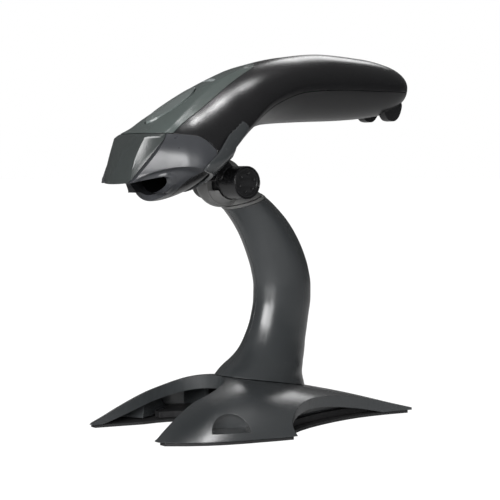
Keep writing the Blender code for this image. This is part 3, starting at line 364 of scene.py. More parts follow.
def spread(low, high, count, ease=0.0):
    """Evenly spaced positions, drawn towards both ends by ease."""
    places = []
    for step in range(count):
        t = step / (count - 1)
        eased = 0.5 - 0.5 * math.cos(math.pi * t)
        places.append(low + (high - low) * (t * (1 - ease) + eased * ease))
    return places


def smooth_line(points, count):
    """A curve through points, in count even steps along its length."""
    lengths = [0.0]
    for (a, b), (c, d) in zip(points, points[1:]):
        lengths.append(lengths[-1] + math.hypot(c - a, d - b))
    firsts = [(at, point[0]) for at, point in zip(lengths, points)]
    seconds = [(at, point[1]) for at, point in zip(lengths, points)]
    return [(follow(firsts, at), follow(seconds, at)) for at in spread(0, lengths[-1], count)]


def loft(rings):
    """Closed bmesh through equal rings of 3D points, capped at both ends."""
    bm = bmesh.new()
    rows = [[bm.verts.new(point) for point in ring] for ring in rings]
    count = len(rings[0])
    for low, high in zip(rows, rows[1:]):
        for index in range(count):
            after = (index + 1) % count
            bm.faces.new((low[index], low[after], high[after], high[index]))
    bm.faces.new(list(reversed(rows[0])))
    bm.faces.new(rows[-1])
    return bm


def prism(outline, axis, low, high):
    """Closed bmesh: a (y, z) outline swept along X, or an (x, y) outline swept along Z."""
    def place(a, b, along):
        return (along, a, b) if axis == "X" else (a, b, along)
    return loft([[place(a, b, low) for a, b in outline], [place(a, b, high) for a, b in outline]])


def box(low, high):
    """Closed bmesh box between two corners."""
    outline = [(low[0], low[1]), (high[0], low[1]), (high[0], high[1]), (low[0], high[1])]
    return prism(outline, "Z", low[2], high[2])


def turned(profile, centre, direction, segments=64):
    """Closed bmesh of revolution: profile lists (radius, distance along the axis)."""
    axis = Vector(direction).normalized()
    turn = axis.to_track_quat("Z", "Y").to_matrix()
    rings = []
    for radius, along in profile:
        ring = []
        for step in range(segments):
            angle = 2 * math.pi * step / segments
            spoke = turn @ Vector((radius * math.cos(angle), radius * math.sin(angle), along))
            ring.append(Vector(centre) + spoke)
        rings.append(ring)
    return loft(rings)


def rod(radius, centre, direction, low, high, segments=64):
    """Closed bmesh cylinder along a direction, between two distances from centre."""
    return turned([(radius, low), (radius, high)], centre, direction, segments)


def solid(name, bm):
    """Turn a bmesh in millimetres over the rim into an object in metres over the table."""
    bmesh.ops.recalc_face_normals(bm, faces=bm.faces)
    bmesh.ops.translate(bm, verts=bm.verts, vec=(0, 0, RIM_HEIGHT))
    bmesh.ops.scale(bm, verts=bm.verts, vec=(MM, MM, MM))
    mesh = bpy.data.meshes.new(name)
    bm.to_mesh(mesh)
    bm.free()
    obj = bpy.data.objects.new(name, mesh)
    bpy.context.scene.collection.objects.link(obj)
    return obj


def settle(obj):
    """Apply an object's modifiers to its mesh."""
    graph = bpy.context.evaluated_depsgraph_get()
    made = bpy.data.meshes.new_from_object(obj.evaluated_get(graph))
    obj.modifiers.clear()
    obj.data = made


def cut(obj, tool, operation="DIFFERENCE"):
    """Apply one exact boolean with a tool bmesh in millimetres, or with a tool object."""
    if isinstance(tool, bmesh.types.BMesh):
        tool = solid("tool", tool)
    modifier = obj.modifiers.new("cut", "BOOLEAN")
    modifier.operation = operation
    modifier.solver = "EXACT"
    modifier.object = tool
    settle(obj)
    bpy.data.objects.remove(tool, do_unlink=True)


def soften(obj, cell, rounds):
    """Rebuild a solid in small even cells and round its edges off."""
    remesh = obj.modifiers.new("cells", "REMESH")
    remesh.mode = "VOXEL"
    remesh.voxel_size = cell * MM
    smooth = obj.modifiers.new("round", "SMOOTH")
    smooth.iterations = rounds
    smooth.factor = 0.5
    settle(obj)


def wear(obj, looks, body, slot, nodes, sharp_deg=30):
    """Finish a piece: clean mesh, material, the body it rides on and the nodes it stands for."""
    bm = bmesh.new()
    bm.from_mesh(obj.data)
    bmesh.ops.remove_doubles(bm, verts=bm.verts, dist=0.000005)
    bmesh.ops.dissolve_degenerate(bm, edges=bm.edges, dist=0.000005)
    bm.to_mesh(obj.data)
    bm.free()
    obj.data.materials.clear()
    obj.data.materials.append(looks[slot])
    obj.data.shade_smooth()
    obj.data.set_sharp_from_angle(angle=math.radians(sharp_deg))
    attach(obj, body)
    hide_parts(*nodes)


# ================================================================ scanner skin
def quarter(half_x, reach, power, angles, up):
    """Points (x, dz) of the upper or lower right quarter of a superellipse at the given angles."""
    points = []
    for angle in angles:
        x = half_x * abs(math.cos(angle)) ** (2 / power)
        z = reach * abs(math.sin(angle)) ** (2 / power)
        points.append((x, z if up else -z))
    return points


def plain_ring(y, grow):
    """Ring of the plain skin at y, moved outwards by grow."""
    half_x = max(follow(HALF_WIDTH, y) + grow, 0.6)
    middle = follow(FLANK_Z, y)
    top = max(follow(RIDGE_Z, y) + grow, middle + 0.5)
    bottom = min(follow(BELLY_Z, y) - grow, middle - 0.5)
    ring = []
    for step in range(SKIN_POINTS):
        angle = 2 * math.pi * step / SKIN_POINTS
        c, s = math.cos(angle), math.sin(angle)
        power = follow(UPPER_POWER, y) if s >= 0 else follow(LOWER_POWER, y)
        reach = top - middle if s >= 0 else middle - bottom
        x = half_x * math.copysign(abs(c) ** (2 / power), c)
        ring.append((x, y, middle + reach * math.copysign(abs(s) ** (2 / power), s)))
    return ring


def skin(grow=0.0, low=NOSE_Y, high=TAIL_Y, stations=48):
    """Solid inside the plain skin, between two slices."""
    return loft([plain_ring(y, grow) for y in spread(low, high, stations, ease=0.35)])


def detailed_half(y, grow):
    """(x, z) points of the right half of the detailed skin, from the ridge down to the belly."""
    half_x = follow(HALF_WIDTH, y) + grow
    middle = follow(FLANK_Z, y)
    upper, lower = follow(UPPER_POWER, y), follow(LOWER_POWER, y)
    rise = follow(RIDGE_Z, y) - middle + grow
    drop = middle - follow(BELLY_Z, y) + grow
    crease = angle_of(min(follow(COVER_CREASE_X, y) / half_x, 0.96), upper)
    seam = angle_of(min(max(follow(COVER_SEAM_X, y), follow(COVER_CREASE_X, y) + 1.2) / half_x, 0.985), upper)
    angles = spread(math.pi / 2, crease, RIDGE_POINTS)[:-1] + spread(crease, seam, FACET_POINTS)[:-1]
    angles += spread(seam, 0, SHOULDER_POINTS)
    points = [(x, middle + z) for x, z in quarter(half_x, rise, upper, angles, True)]
    points = faceted(points, RIDGE_POINTS - 1, RIDGE_POINTS + FACET_POINTS - 2, follow(CREASE_FADE, y))
    depth = min(max((middle - follow(CHEEK_CREASE_Z, y)) / drop, 0.02), 0.9)
    fold = math.asin(depth ** (lower / 2))
    angles = spread(0, fold, CHEEK_POINTS)[1:-1] + spread(fold, math.pi / 2, BELLY_POINTS)
    for x, z in quarter(half_x, drop, lower, angles, False):
        points.append((x, middle + z))
    return points


def angle_of(share, power):
    """Angle at which a superellipse reaches a share of its half width."""
    return math.acos(share ** (power / 2))


def faceted(points, first, last, share):
    """Flatten the run between two points into a facet with a proud upper edge, by a share from 0 to 1."""
    made = list(points)
    (x0, z0), (x1, z1) = points[first], points[last]
    lift = CREASE_RISE * share
    x0, z0 = x0 + 0.5 * lift, z0 + lift
    for index in range(first, last + 1):
        t = (index - first) / (last - first)
        x, z = points[index]
        made[index] = (x + (x0 + (x1 - x0) * t - x) * share, z + (z0 + (z1 - z0) * t - z) * share)
    for index in range(first):
        x, z = points[index]
        t = index / first
        made[index] = (x * (1 + 0.5 * lift / points[first][0] * t), z + lift * t ** 2)
    return made


def distance_to(outline, y, z):
    """Distance from a point to an open outline in the side view."""
    best = FAR
    for (ay, az), (by, bz) in zip(outline, outline[1:]):
        run, rise = by - ay, bz - az
        t = max(0.0, min(1.0, ((y - ay) * run + (z - az) * rise) / (run * run + rise * rise)))
        best = min(best, math.hypot(y - ay - run * t, z - az - rise * t))
    return best


def cheek_shift(x, y, z):
    """How far the detailed skin moves sideways: in under the cheek's crease, out round the mouth."""
    under = follow(CHEEK_CREASE_Z, y) - z
    shift = 0.0
    if under > 0:
        shift -= CHEEK_TUCK * follow(CHEEK_TUCK_FADE, y) * follow(TUCK_PROFILE, under)
    away = distance_to(MOUTH_OUTLINE[1:8], y, z)
    if away < MOUTH_RIM_WIDTH:
        shift += MOUTH_RIM_RISE * math.cos(math.pi / 2 * away / MOUTH_RIM_WIDTH) ** 1.5
    return shift * min(1.0, abs(x) / 6)


def detailed_skin(grow=0.0, low=NOSE_Y, high=TAIL_Y):
    """The scanner's skin with the cover's facets, the folded cheeks and the mouth's rim."""
    ys = []
    for start, end, count in SKIN_STEPS:
        ys += spread(start, end, count)[:-1]
    ys.append(TAIL_Y)
    rings = []
    for y in [place for place in ys if low <= place <= high]:
        half = detailed_half(y, grow)
        if y < -40:
            half = [(max(x + cheek_shift(x, y, z), 0.0) if z < follow(FLANK_Z, y) else x, z) for x, z in half]
        half = [(x, y, z) for x, z in half]
        half[0] = (0, y, half[0][2])
        half[-1] = (0, y, half[-1][2])
        rings.append(half + [(-x, y, z) for x, _, z in reversed(half[1:-1])])
    return loft(rings)


def side_region(outline):
    """Region given by a (y, z) outline, right across the scanner."""
    return prism(outline, "X", -FAR, FAR)


def hollow():
    """The space inside the scanner's walls."""
    return skin(-SHELL_WALL, NOSE_Y + 6, TAIL_Y - 3.2)


def front_of(gap=0.0):
    """Everything on the nose side of the visor's slanted seam."""
    (y1, z1), (y0, z0) = VISOR_SEAM_TOP, VISOR_SEAM_BOTTOM
    run = (y1 - y0) / (z1 - z0)
    top = (y1 + run * 100 - gap, z1 + 100)
    bottom = (y0 - run * 100 - gap, z0 - 100)
    return side_region([(-FAR - 60, z0 - 100), bottom, top, (-FAR - 60, z1 + 100)])


def beyond_bevel(side):
    """Everything outside the bevel between the visor's face and one cheek."""
    normal = Vector((side * BEVEL_NORMAL[0], BEVEL_NORMAL[1], BEVEL_NORMAL[2]))
    point = (side * BEVEL_POINT[0], BEVEL_POINT[1], BEVEL_POINT[2])
    return rod(60, point, normal, 0, 40, 4)


def behind_face():
    """Everything behind the front face, which bows forward in the middle."""
    (y1, z1), (y0, z0) = FACE_TOP, FACE_BOTTOM
    rings = []
    for z in (z0 - 20, *spread(z0, z1, 17), z1 + 40):
        up = (z - z0) / (z1 - z0)
        middle = y0 + (y1 - y0) * up - FACE_BULGE * math.sin(math.pi * min(max(up, 0), 1))
        sag = max(FACE_SAG[1] + (FACE_SAG[0] - FACE_SAG[1]) * up, 0.1)
        ring = [(x, middle + sag * (x / FACE_HALF_WIDTH) ** 2, z) for x in spread(-24, 24, 41)]
        rings.append(ring + [(24, FAR, z), (-24, FAR, z)])
    return loft(rings)


def mouth():
    """The scanning mouth, with rounded corners in the side view."""
    return prism(smooth_line(MOUTH_OUTLINE[1:8], 40) + [(-95, 115.3), (-95, 119.6)], "X", -60, 60)


def nose_region(gap=0.0):
    """Region that belongs to the nose bezel, under its border line."""
    border = [(y + 1.4 * gap, z + 0.3 * gap) for y, z in smooth_line(NOSE_BORDER, 60)]
    return side_region([(-100, 90), (-100, LEDGE_Z + gap), (-64, LEDGE_Z + gap)] + border[1:])


def cover_region(gap=0.0):
    """Column over the long cover, blunt at its tip."""
    half = [(follow(COVER_SEAM_X, y) + gap, y) for y in spread(-80, 1, 60)[:-1]]
    outline = half + [(0.0, 1 + gap)] + [(-x, y) for x, y in reversed(half)]
    return prism(outline, "Z", LEDGE_Z - gap, 220)


def ahead_of_lip():
    """Everything in front of the mouth's bowed lower lip."""
    edge = [(x, LIP_FRONT_Y + LIP_BOW * x * x) for x in spread(-28, 28, 41)]
    return prism(edge + [(28, -FAR), (-28, -FAR)], "Z", 90, LIP_TOP_Z + 0.5)


def parting(gap, upwards):
    """Region over or under the handle's seam."""
    shift = gap if upwards else -gap
    line = [(y, follow(FLANK_Z, y) - PARTING_DROP + shift) for y in spread(-95, 125, 70)]
    end = 230 if upwards else 60
    return side_region([(-95, end)] + line + [(125, end)])


def button_outline(grow=0.0):
    """Long oval of the trigger button, seen from above."""
    outline = []
    for step in range(BUTTON_POINTS):
        angle = 2 * math.pi * step / BUTTON_POINTS
        x = (BUTTON_HALF[0] + grow) * math.cos(angle)
        outline.append((x, BUTTON_CENTRE_Y + (BUTTON_HALF[1] + grow) * math.sin(angle)))
    return outline


def socket_block(half, high_y, low_y=SOCKET_Y):
    """Block along the cable socket's centre line."""
    return box((-half[0], low_y, SOCKET_CENTRE_Z - half[1]), (half[0], high_y, SOCKET_CENTRE_Z + half[1]))


def socket_hole():
    """Opening in the tail for the cable socket."""
    return socket_block((SOCKET_HALF[0] + 0.4, SOCKET_HALF[1] + 0.4), FAR, SOCKET_Y + 3)


# ================================================================ scanner pieces
def build_scanner(looks):
    """Shells, cover, visor and button of the scanner."""
    upper = solid("handle_upper_look", detailed_skin())
    cut(upper, parting(GAP / 2, True), "INTERSECT")
    for tool in (hollow(), cover_region(GAP / 2), nose_region(GAP), socket_hole()):
        cut(upper, tool)
    wear(upper, looks, "scanner", "black_shell", ["handle_upper_shell"])

    lower = solid("handle_lower_look", detailed_skin())
    cut(lower, parting(GAP / 2, False), "INTERSECT")
    cut(lower, nose_region(GAP))
    for side in (-1, 1):
        low, high = sorted((side * EAR_X[0], side * EAR_X[1]))
        cut(lower, prism(smooth_line(EAR_OUTLINE, 26), "X", low, high), "UNION")
    for tool in (hollow(), socket_hole()):
        cut(lower, tool)
    wear(lower, looks, "scanner", "black_shell", ["handle_lower_shell"])

    socket = solid("cable_socket_look", socket_block(SOCKET_HALF, FAR))
    cut(socket, skin(-0.1, 60), "INTERSECT")
    cut(socket, socket_block(SOCKET_MOUTH_HALF, FAR, SOCKET_FLOOR_Y))
    wear(socket, looks, "scanner", "dark_plastic", ["cable_socket"])

    cover = solid("top_cover_look", detailed_skin())
    cut(cover, side_region(COVER_SIDE), "INTERSECT")
    cut(cover, cover_region(-GAP / 2), "INTERSECT")
    for tool in (skin(-SHELL_WALL, -84, 60), prism(button_outline(0.5), "Z", 140, 220), lens_slot(GAP)):
        cut(cover, tool)
    wear(cover, looks, "scanner", "cover_grey", ["top_cover"], 20)

    bezel = solid("nose_bezel_look", detailed_skin())
    cut(bezel, nose_region(), "INTERSECT")
    for tool in (front_of(-GAP / 2), mouth(), ahead_of_lip(), detailed_skin(-BEZEL_WALL, -79, -18)):
        cut(bezel, tool)
    wear(bezel, looks, "scanner", "nose_grey", ["nose_bezel"])

    window = solid("scan_window_look", detailed_skin(-BEZEL_WALL - GAP, -77.8, -60))
    cut(window, side_region(WINDOW_SLAB), "INTERSECT")
    wear(window, looks, "scanner", "window", ["scan_window"])

    visor = solid("visor_look", detailed_skin())
    cut(visor, front_of(GAP / 2), "INTERSECT")
    cut(visor, box((-60, -120, 60), (60, 0, LEDGE_Z)), "INTERSECT")
    for side in (-1, 1):
        cut(visor, beyond_bevel(side))
    cut(visor, behind_face(), "INTERSECT")
    pocket = [(FACE_TOP[0] + SHELL_WALL, LEDGE_Z - SHELL_WALL), (VISOR_POCKET_REAR_Y, LEDGE_Z - SHELL_WALL),
              (VISOR_POCKET_REAR_Y, VISOR_POCKET_FLOOR_Z), (FACE_BOTTOM[0] + 4.0, VISOR_POCKET_FLOOR_Z)]
    for tool in (mouth(), prism(pocket, "X", -VISOR_POCKET_HALF_X, VISOR_POCKET_HALF_X)):
        cut(visor, tool)
    wear(visor, looks, "scanner", "visor_grey", ["visor"])

    button = solid("trigger_button_look", skin(BUTTON_RISE, -75, -20, 60))
    cut(button, prism(button_outline(), "Z", 145, 220), "INTERSECT")
    cut(button, skin(-3.0, -84, 60))
    wear(button, looks, "button", "button_grey", ["trigger_button"])

    lens = solid("indicator_lens_look", skin(LENS_RISE, -45, -10, 40))
    cut(lens, lens_slot(0.0), "INTERSECT")
    cut(lens, skin(-3.0, -84, 60))
    wear(lens, looks, "scanner", "lens", ["indicator_lens"])


def lens_slot(grow):
    """Column over the indicator lens's short slot, with rounded ends."""
    outline = []
    for step in range(28):
        angle = 2 * math.pi * step / 28
        x = LENS_HALF[0] + grow
        y = LENS_HALF[1] + grow
        outline.append((x * math.copysign(abs(math.cos(angle)) ** 0.5, math.cos(angle)),
                        LENS_CENTRE_Y + y * math.copysign(abs(math.sin(angle)) ** 0.5, math.sin(angle))))
    return prism(outline, "Z", 140, 220)


# ================================================================ cradle, arm and knuckle
def tilt_point():
    """Middle of the tilt axis."""
    return (0.0, TILT_Y, TILT_Z)


def around_tilt(radius, angle_deg):
    """(y, z) at a radius and angle round the tilt axis, from +Y towards +Z."""
    angle = math.radians(angle_deg)
    return (TILT_Y + radius * math.cos(angle), TILT_Z + radius * math.sin(angle))


def build_cradle(looks):
    """Band round the scanner's head, open at the top, with a tongue back under the belly."""
    cradle = solid("cradle_look", skin(CRADLE_GAP + CRADLE_WALL, -70, 20, 60))
    curve = smooth_line(CRADLE_PROFILE[1:-1], 60)
    cut(cradle, side_region([CRADLE_PROFILE[0]] + curve + [CRADLE_PROFILE[-1]]), "INTERSECT")
    rings = []
    for y in spread(NOSE_Y, TAIL_Y, 48, ease=0.35):
        lower = [point for point in plain_ring(y, CRADLE_GAP) if point[2] <= follow(FLANK_Z, y) + 0.01]
        lower.sort(key=lambda point: point[0])
        rings.append(lower + [(lower[-1][0], y, 230), (lower[0][0], y, 230)])
    cut(cradle, loft(rings))
    for x, y in CRADLE_SCREWS:
        cut(cradle, rod(SCREW_HEAD_RADIUS, (x, y, 0), (0, 0, 1), 100, 160, 24))
    soften(cradle, 0.4, 9)
    wear(cradle, looks, "cradle", "stand_grey", ["cradle"], 60)


def build_arm(looks):
    """Black arm: barrel on the tilt axis with a stalk up to the cradle."""
    stalk = [around_tilt(KNUCKLE_RADIUS - 0.2, degrees) for degrees in (178, 168, 158, 148)]
    stalk += [(-34, 134), (-26, 146), (-15, 146), (-19.8, 136.6), (-22.2, 133.8), (-22.8, 131),
              around_tilt(7, 90)]
    arm = solid("cradle_arm_look", rod(BARREL_RADIUS, tilt_point(), (1, 0, 0), *BARREL_X))
    cut(arm, prism(stalk, "X", *ARM_X), "UNION")
    cut(arm, skin(CRADLE_GAP + CRADLE_WALL + GAP, -70, 20, 40))
    cut(arm, rod(PIN_RADIUS + 0.05, tilt_point(), (1, 0, 0), -40, 40))
    for end, out in ((BARREL_X[0], -1), (BARREL_X[1], 1)):
        low, high = sorted((end - out * CAP_SEAT, end + out * 20))
        cut(arm, rod(CAP_RADIUS + GAP, tilt_point(), (1, 0, 0), low, high))
    for x, y in CRADLE_SCREWS:
        seat = follow(BELLY_Z, y) - CRADLE_GAP
        cut(arm, rod(SCREW_THREAD_RADIUS, (x, y, 0), (0, 0, 1), 118, 170, 24))
        cut(arm, rod(SCREW_HEAD_RADIUS, (x, y, 0), (0, 0, 1), seat - SCREW_HEAD_DEPTH, 170, 24))
    soften(arm, 0.3, 4)
    wear(arm, looks, "cradle", "black_shell", ["cradle_arm"], 60)


def neck_ring(z, grow):
    """Horizontal slice of the neck."""
    centre = follow(NECK_CENTRE_Y, z)
    half_x = follow(NECK_HALF_X, z) + grow
    half_y = follow(NECK_HALF_Y, z) + grow * 1.25
    ring = []
    for step in range(NECK_POINTS):
        angle = 2 * math.pi * step / NECK_POINTS
        ring.append((half_x * math.cos(angle), centre + half_y * math.sin(angle), z))
    return ring


def neck_solid(grow=0.0, low=NECK_Z[0], high=NECK_Z[1], stations=60):
    """Solid inside the neck's skin."""
    return loft([neck_ring(z, grow) for z in spread(low, high, stations, ease=0.25)])


def seam_side(offset, upwards):
    """Everything on one side of the leaning seam plane, moved up by offset along its normal."""
    lean = math.radians(SEAM_LEAN_DEG)
    normal = (-math.sin(lean), math.cos(lean))
    along = (math.cos(lean), math.sin(lean))
    centre = [SEAM_CENTRE[i] + normal[i] * offset for i in range(2)]
    depth = 200 if upwards else -200
    outline = []
    for a, d in ((-200, 0), (200, 0), (200, depth), (-200, depth)):
        outline.append(tuple(centre[i] + along[i] * a + normal[i] * d for i in range(2)))
    return side_region(outline)


def build_knuckle(looks):
    """Far and near housings of the pale knuckle."""
    profile = []
    for angle in spread(math.radians(-86), math.radians(86), 41):
        profile.append((KNUCKLE_RADIUS * math.cos(angle), KNUCKLE_RADIUS * math.sin(angle)))
    sweep = [around_tilt(KNUCKLE_SWEEP_RADIUS, degrees) for degrees in spread(*KNUCKLE_SWEEP_DEG, 41)]
    sweep += [around_tilt(40, degrees) for degrees in (KNUCKLE_SWEEP_DEG[1], 120, KNUCKLE_SWEEP_DEG[0])]
    ranges = {"knuckle_far_housing": (-60, KNUCKLE_SPLIT_X - GAP / 2, 170),
              "knuckle_near_housing": (KNUCKLE_SPLIT_X + GAP / 2, 60, KNUCKLE_SHOULDER_Z)}
    for name, (low_x, high_x, top_z) in ranges.items():
        piece = solid(name + "_look", turned(profile, tilt_point(), (1, 0, 0)))
        cut(piece, neck_solid(0, 100, NECK_Z[1], 30), "UNION")
        cut(piece, seam_side(0, False))
        cut(piece, box((low_x, -80, 60), (high_x, 80, top_z)), "INTERSECT")
        cut(piece, prism(sweep, "X", -60, 60))
        cut(piece, rod(BARREL_RADIUS + GAP, tilt_point(), (1, 0, 0), -60, 60))
        soften(piece, 0.25, 3)
        wear(piece, looks, "stand", "light_grey", [name], 60)


def build_caps(looks):
    """Drilled caps in the ends of the barrel."""
    for word, end, out in (("left", BARREL_X[0], -1), ("right", BARREL_X[1], 1)):
        face = end - out * 0.3
        low, high = sorted((end - out * 2.1, face))
        cap = solid(f"pivot_cap_{word}_look", rod(CAP_RADIUS, tilt_point(), (1, 0, 0), low, high))
        low, high = sorted((face - out * 0.5, face + out * 5))
        cut(cap, rod(CAP_RADIUS - 1.0, tilt_point(), (1, 0, 0), low, high))
        for index in range(CAP_HOLES):
            y, z = around_tilt(CAP_HOLE_CIRCLE, 20 + 360 * index / CAP_HOLES)
            low, high = sorted((face - out * 1.2, face + out * 5))
            cut(cap, rod(CAP_HOLE_RADIUS, (0, y, z), (1, 0, 0), low, high, 20))
        wear(cap, looks, "cradle", "black_shell", [f"pivot_cap_{word}"])


def build_neck(looks):
    """Two halves of the curved neck and the pale collar on top."""
    for word, side in (("left", -1), ("right", 1)):
        low, high = sorted((side * GAP / 2, side * 60))
        half = solid(f"neck_half_{word}_look", neck_solid())
        cut(half, box((low, -80, -5), (high, 80, 150)), "INTERSECT")
        for tool in (seam_side(-COLLAR_HEIGHT - 2 * GAP, True), neck_solid(-NECK_WALL, 3, 126),
                     base_dome(GAP)):
            cut(half, tool)
        wear(half, looks, "stand", "stand_grey", [f"neck_half_{word}"])
    collar = solid("neck_collar_look", neck_solid(COLLAR_PROUD, 90, 121, 40))
    for tool in (seam_side(-GAP, True), seam_side(-GAP - COLLAR_HEIGHT, False),
                 rod(COLLAR_BORE_RADIUS, (0, -6, 108), (0, -0.35, 0.94), -40, 60)):
        cut(collar, tool)
    wear(collar, looks, "stand", "light_grey", ["neck_collar"])


# ================================================================ base
def base_ring(y, grow, lower):
    """Slice of the base's dome at y, grown outwards or lowered, closed under the table."""
    half = follow(BASE_HALF_WIDTH, y) + grow
    top = max(follow(RIDGE_BASE_Z, y) + grow - lower, 0.2)
    power = follow(BASE_POWER, y)
    ring = []
    for step in range(73):
        x = half * math.cos(math.pi * step / 72)
        ring.append((x, y, top * max(1 - abs(x / half) ** power, 0.0)))
    return ring + [(-half, y, -20.0), (half, y, -20.0)]


def base_dome(grow=0.0, lower=0.0):
    """The whole dome, before the notch and the side arcs are cut."""
    places = spread(BASE_FRONT_Y - grow, BASE_REAR_Y + grow, 56, ease=0.3)
    return loft([base_ring(y, grow, lower) for y in places])


def notch(grow=0.0):
    """Column that opens the front between the two prongs."""
    half = NOTCH_HALF_WIDTH + grow
    depth = NOTCH_APEX_Y - NOTCH_STRAIGHT_Y + grow
    flare = [(half + 7, BASE_FRONT_Y + 1), (half + 2.4, NOTCH_STRAIGHT_Y - 11),
             (half + 0.6, NOTCH_STRAIGHT_Y - 4)]
    outline = [(half, -FAR), (half + 7, -FAR + 10)] + flare
    for step in range(61):
        angle = math.pi * step / 60
        outline.append((half * math.cos(angle), NOTCH_STRAIGHT_Y + depth * math.sin(angle)))
    outline += [(-x, y) for x, y in reversed(flare)] + [(-half - 7, -FAR + 10), (-half, -FAR)]
    return prism(outline, "Z", -30, 60)


def side_arc(side, grow=0.0):
    """Column that hollows one side of the base behind its wing."""
    centre_x, centre_y = SIDE_ARC_CENTRE
    reach_x, reach_y = SIDE_ARC_AXES[0] + grow, SIDE_ARC_AXES[1] + grow
    outline = []
    for step in range(73):
        angle = math.pi / 2 + math.pi * step / 72
        inwards = reach_x * abs(math.cos(angle)) ** (2 / SIDE_ARC_POWER)
        along = math.copysign(reach_y * abs(math.sin(angle)) ** (2 / SIDE_ARC_POWER), math.sin(angle))
        outline.append((side * (centre_x - inwards), centre_y + along))
    outline += [(side * FAR, centre_y - reach_y), (side * FAR, centre_y + reach_y)]
    return prism(outline, "Z", -30, 60)


def scoop(side, grow=0.0):
    """Half-moon pocket low on one flank, grown by grow for the wall around it."""
    x, y, z = SCOOP_CENTRE
    radius, height = SCOOP_RADIUS + grow, SCOOP_HEIGHT + 2 * grow
    turn = math.radians(SCOOP_TURN_DEG)
    inwards = Vector((-side * math.cos(turn), math.sin(turn), 0))
    across = Vector((math.sin(turn), side * math.cos(turn), 0))
    rings = []
    for along in (-20, SCOOP_DEPTH + grow):
        centre = Vector((side * x, y, z - grow)) + inwards * along
        ring = []
        for step in range(41):
            angle = math.pi * step / 40
            rise = Vector((0, 0, height * math.sin(angle)))
            ring.append(centre + across * (radius * math.cos(angle)) + rise)
        rings.append(ring)
    return loft(rings)


def build_base(looks):
    """Base shell with prongs, skirts and scoops, and the ribs and webs under it."""
    shell = solid("base_shell_look", base_dome())
    cut(shell, box((-FAR, -FAR, BASE_FLOOR_Z), (FAR, FAR, FAR)), "INTERSECT")
    for tool in (notch(), side_arc(-1), side_arc(1)):
        cut(shell, tool)
    inner = solid("inner", base_dome(-BASE_WALL, 0.4))
    for tool in (notch(BASE_WALL), side_arc(-1, BASE_WALL), side_arc(1, BASE_WALL)):
        cut(inner, tool)
    cut(shell, inner)
    cut(shell, base_dome(-BASE_WALL, SKIRT_DROP - BASE_WALL))
    for side in (-1, 1):
        wall = solid("wall", scoop(side, BASE_WALL))
        cut(wall, base_dome(-0.6), "INTERSECT")
        cut(shell, wall, "UNION")
        cut(shell, scoop(side))
        low, high = sorted((side * RIB_X[0], side * RIB_X[1]))
        rib = solid("rib", box((low, RIB_Y, RIB_BOTTOM_Z), (high, RIB_Y + BASE_WALL, 40)))
        cut(rib, base_dome(-0.6), "INTERSECT")
        cut(shell, rib, "UNION")
        web = solid("web", side_arc(side, WEB_INSET + BASE_WALL))
        for tool in (side_arc(side, WEB_INSET), notch(BASE_WALL)):
            cut(web, tool)
        cut(web, box((-FAR, -60, WEB_BOTTOM_Z), (FAR, 74, 40)), "INTERSECT")
        cut(web, base_dome(-0.6), "INTERSECT")
        cut(shell, web, "UNION")
    cut(shell, rod(5.0, (0, 3, 0), (0, 0, 1), 5, 60, 48))
    wear(shell, looks, "stand", "stand_grey", ["base_shell"])


# ================================================================ studio
def panel(name, place, target, size, power):
    """Soft rectangular light that looks at a point."""
    light = bpy.data.lights.new(name, "AREA")
    light.shape = "RECTANGLE"
    light.size, light.size_y = size
    light.energy = power
    obj = bpy.data.objects.new(name, light)
    obj.location = place
    obj.rotation_euler = (Vector(target) - Vector(place)).to_track_quat("-Z", "Y").to_euler()
    bpy.context.scene.collection.objects.link(obj)


def build_world():
    """Studio that is white to the camera, and in reflections dim, brighter overhead."""
    world = bpy.data.worlds.new("studio")
    world.use_nodes = True
    bpy.context.scene.world = world
    tree = world.node_tree
    out = tree.nodes["Background"]
    path = node(tree, "ShaderNodeLightPath")
    place = node(tree, "ShaderNodeTexCoord")
    split = node(tree, "ShaderNodeSeparateXYZ")
    tree.links.new(place.outputs["Generated"], split.inputs[0])
    ramp = node(tree, "ShaderNodeValToRGB")
    ramp.color_ramp.elements[0].position = 0.0
    ramp.color_ramp.elements[0].color = (WORLD_LOW, WORLD_LOW, WORLD_LOW, 1)
    ramp.color_ramp.elements[1].position = 0.9
    ramp.color_ramp.elements[1].color = (WORLD_HIGH, WORLD_HIGH, WORLD_HIGH, 1)
    tree.links.new(split.outputs["Z"], ramp.inputs["Fac"])
    mix = node(tree, "ShaderNodeMix", data_type="RGBA")
    mix.inputs[7].default_value = (1.0, 1.0, 1.0, 1)
    tree.links.new(path.outputs["Is Camera Ray"], mix.inputs[0])
    tree.links.new(ramp.outputs["Color"], mix.inputs[6])
    tree.links.new(mix.outputs[2], out.inputs["Color"])


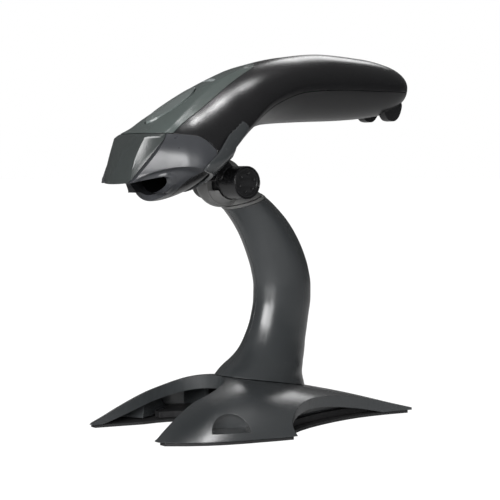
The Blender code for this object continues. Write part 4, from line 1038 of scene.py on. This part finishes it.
def floor_paint():
    """Matt pale floor that stays close to white in view and keeps a faint contact shadow."""
    made = surface("floor_paint", (0.7, 0.7, 0.7), 0.7, drift=0.0, depth=0.0)
    tree = made.node_tree
    glow = node(tree, "ShaderNodeEmission", Strength=FLOOR_GLOW)
    glow.inputs["Color"].default_value = (1, 1, 1, 1)
    path = node(tree, "ShaderNodeLightPath")
    share = node(tree, "ShaderNodeMath", operation="MULTIPLY")
    share.inputs[1].default_value = FLOOR_GLOW_SHARE
    add = node(tree, "ShaderNodeMixShader")
    tree.links.new(path.outputs["Is Camera Ray"], share.inputs[0])
    tree.links.new(share.outputs[0], add.inputs[0])
    tree.links.new(tree.nodes["Principled BSDF"].outputs[0], add.inputs[1])
    tree.links.new(glow.outputs[0], add.inputs[2])
    tree.links.new(add.outputs[0], tree.nodes["Material Output"].inputs["Surface"])
    return made


def build_studio():
    """Floor, lights and camera."""
    bm = bmesh.new()
    for x, y in ((-1, -1), (1, -1), (1, 1), (-1, 1)):
        bm.verts.new((x * FLOOR_REACH, y * FLOOR_REACH, 0))
    bm.faces.new(bm.verts)
    mesh = bpy.data.meshes.new("floor")
    bm.to_mesh(mesh)
    bm.free()
    floor = bpy.data.objects.new("floor", mesh)
    bpy.context.scene.collection.objects.link(floor)
    mesh.materials.append(floor_paint())
    for light in LIGHTS:
        panel(*light)

    camera = bpy.data.cameras.new("camera")
    camera.lens = CAMERA_LENS_MM
    camera.sensor_width = CAMERA_SENSOR_MM
    obj = bpy.data.objects.new("camera", camera)
    obj.location = CAMERA_PLACE
    obj.rotation_euler = (math.radians(90 - CAMERA_PITCH_DEG), 0, math.radians(CAMERA_AZIMUTH_DEG))
    bpy.context.scene.collection.objects.link(obj)
    bpy.context.scene.camera = obj
    bpy.context.scene.view_settings.view_transform = "Standard"


def dress_kept_nodes(frame, looks):
    """Give every CAD node its slot's procedural material."""
    for obj in frame["nodes"].values():
        slot = obj.data.materials[0].name.split(".")[0]
        obj.data.materials[0] = looks[slot]


def main():
    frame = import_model()
    looks = make_looks()
    build_scanner(looks)
    build_cradle(looks)
    build_arm(looks)
    build_knuckle(looks)
    build_caps(looks)
    build_neck(looks)
    build_base(looks)
    dress_kept_nodes(frame, looks)
    build_world()
    build_studio()


main()
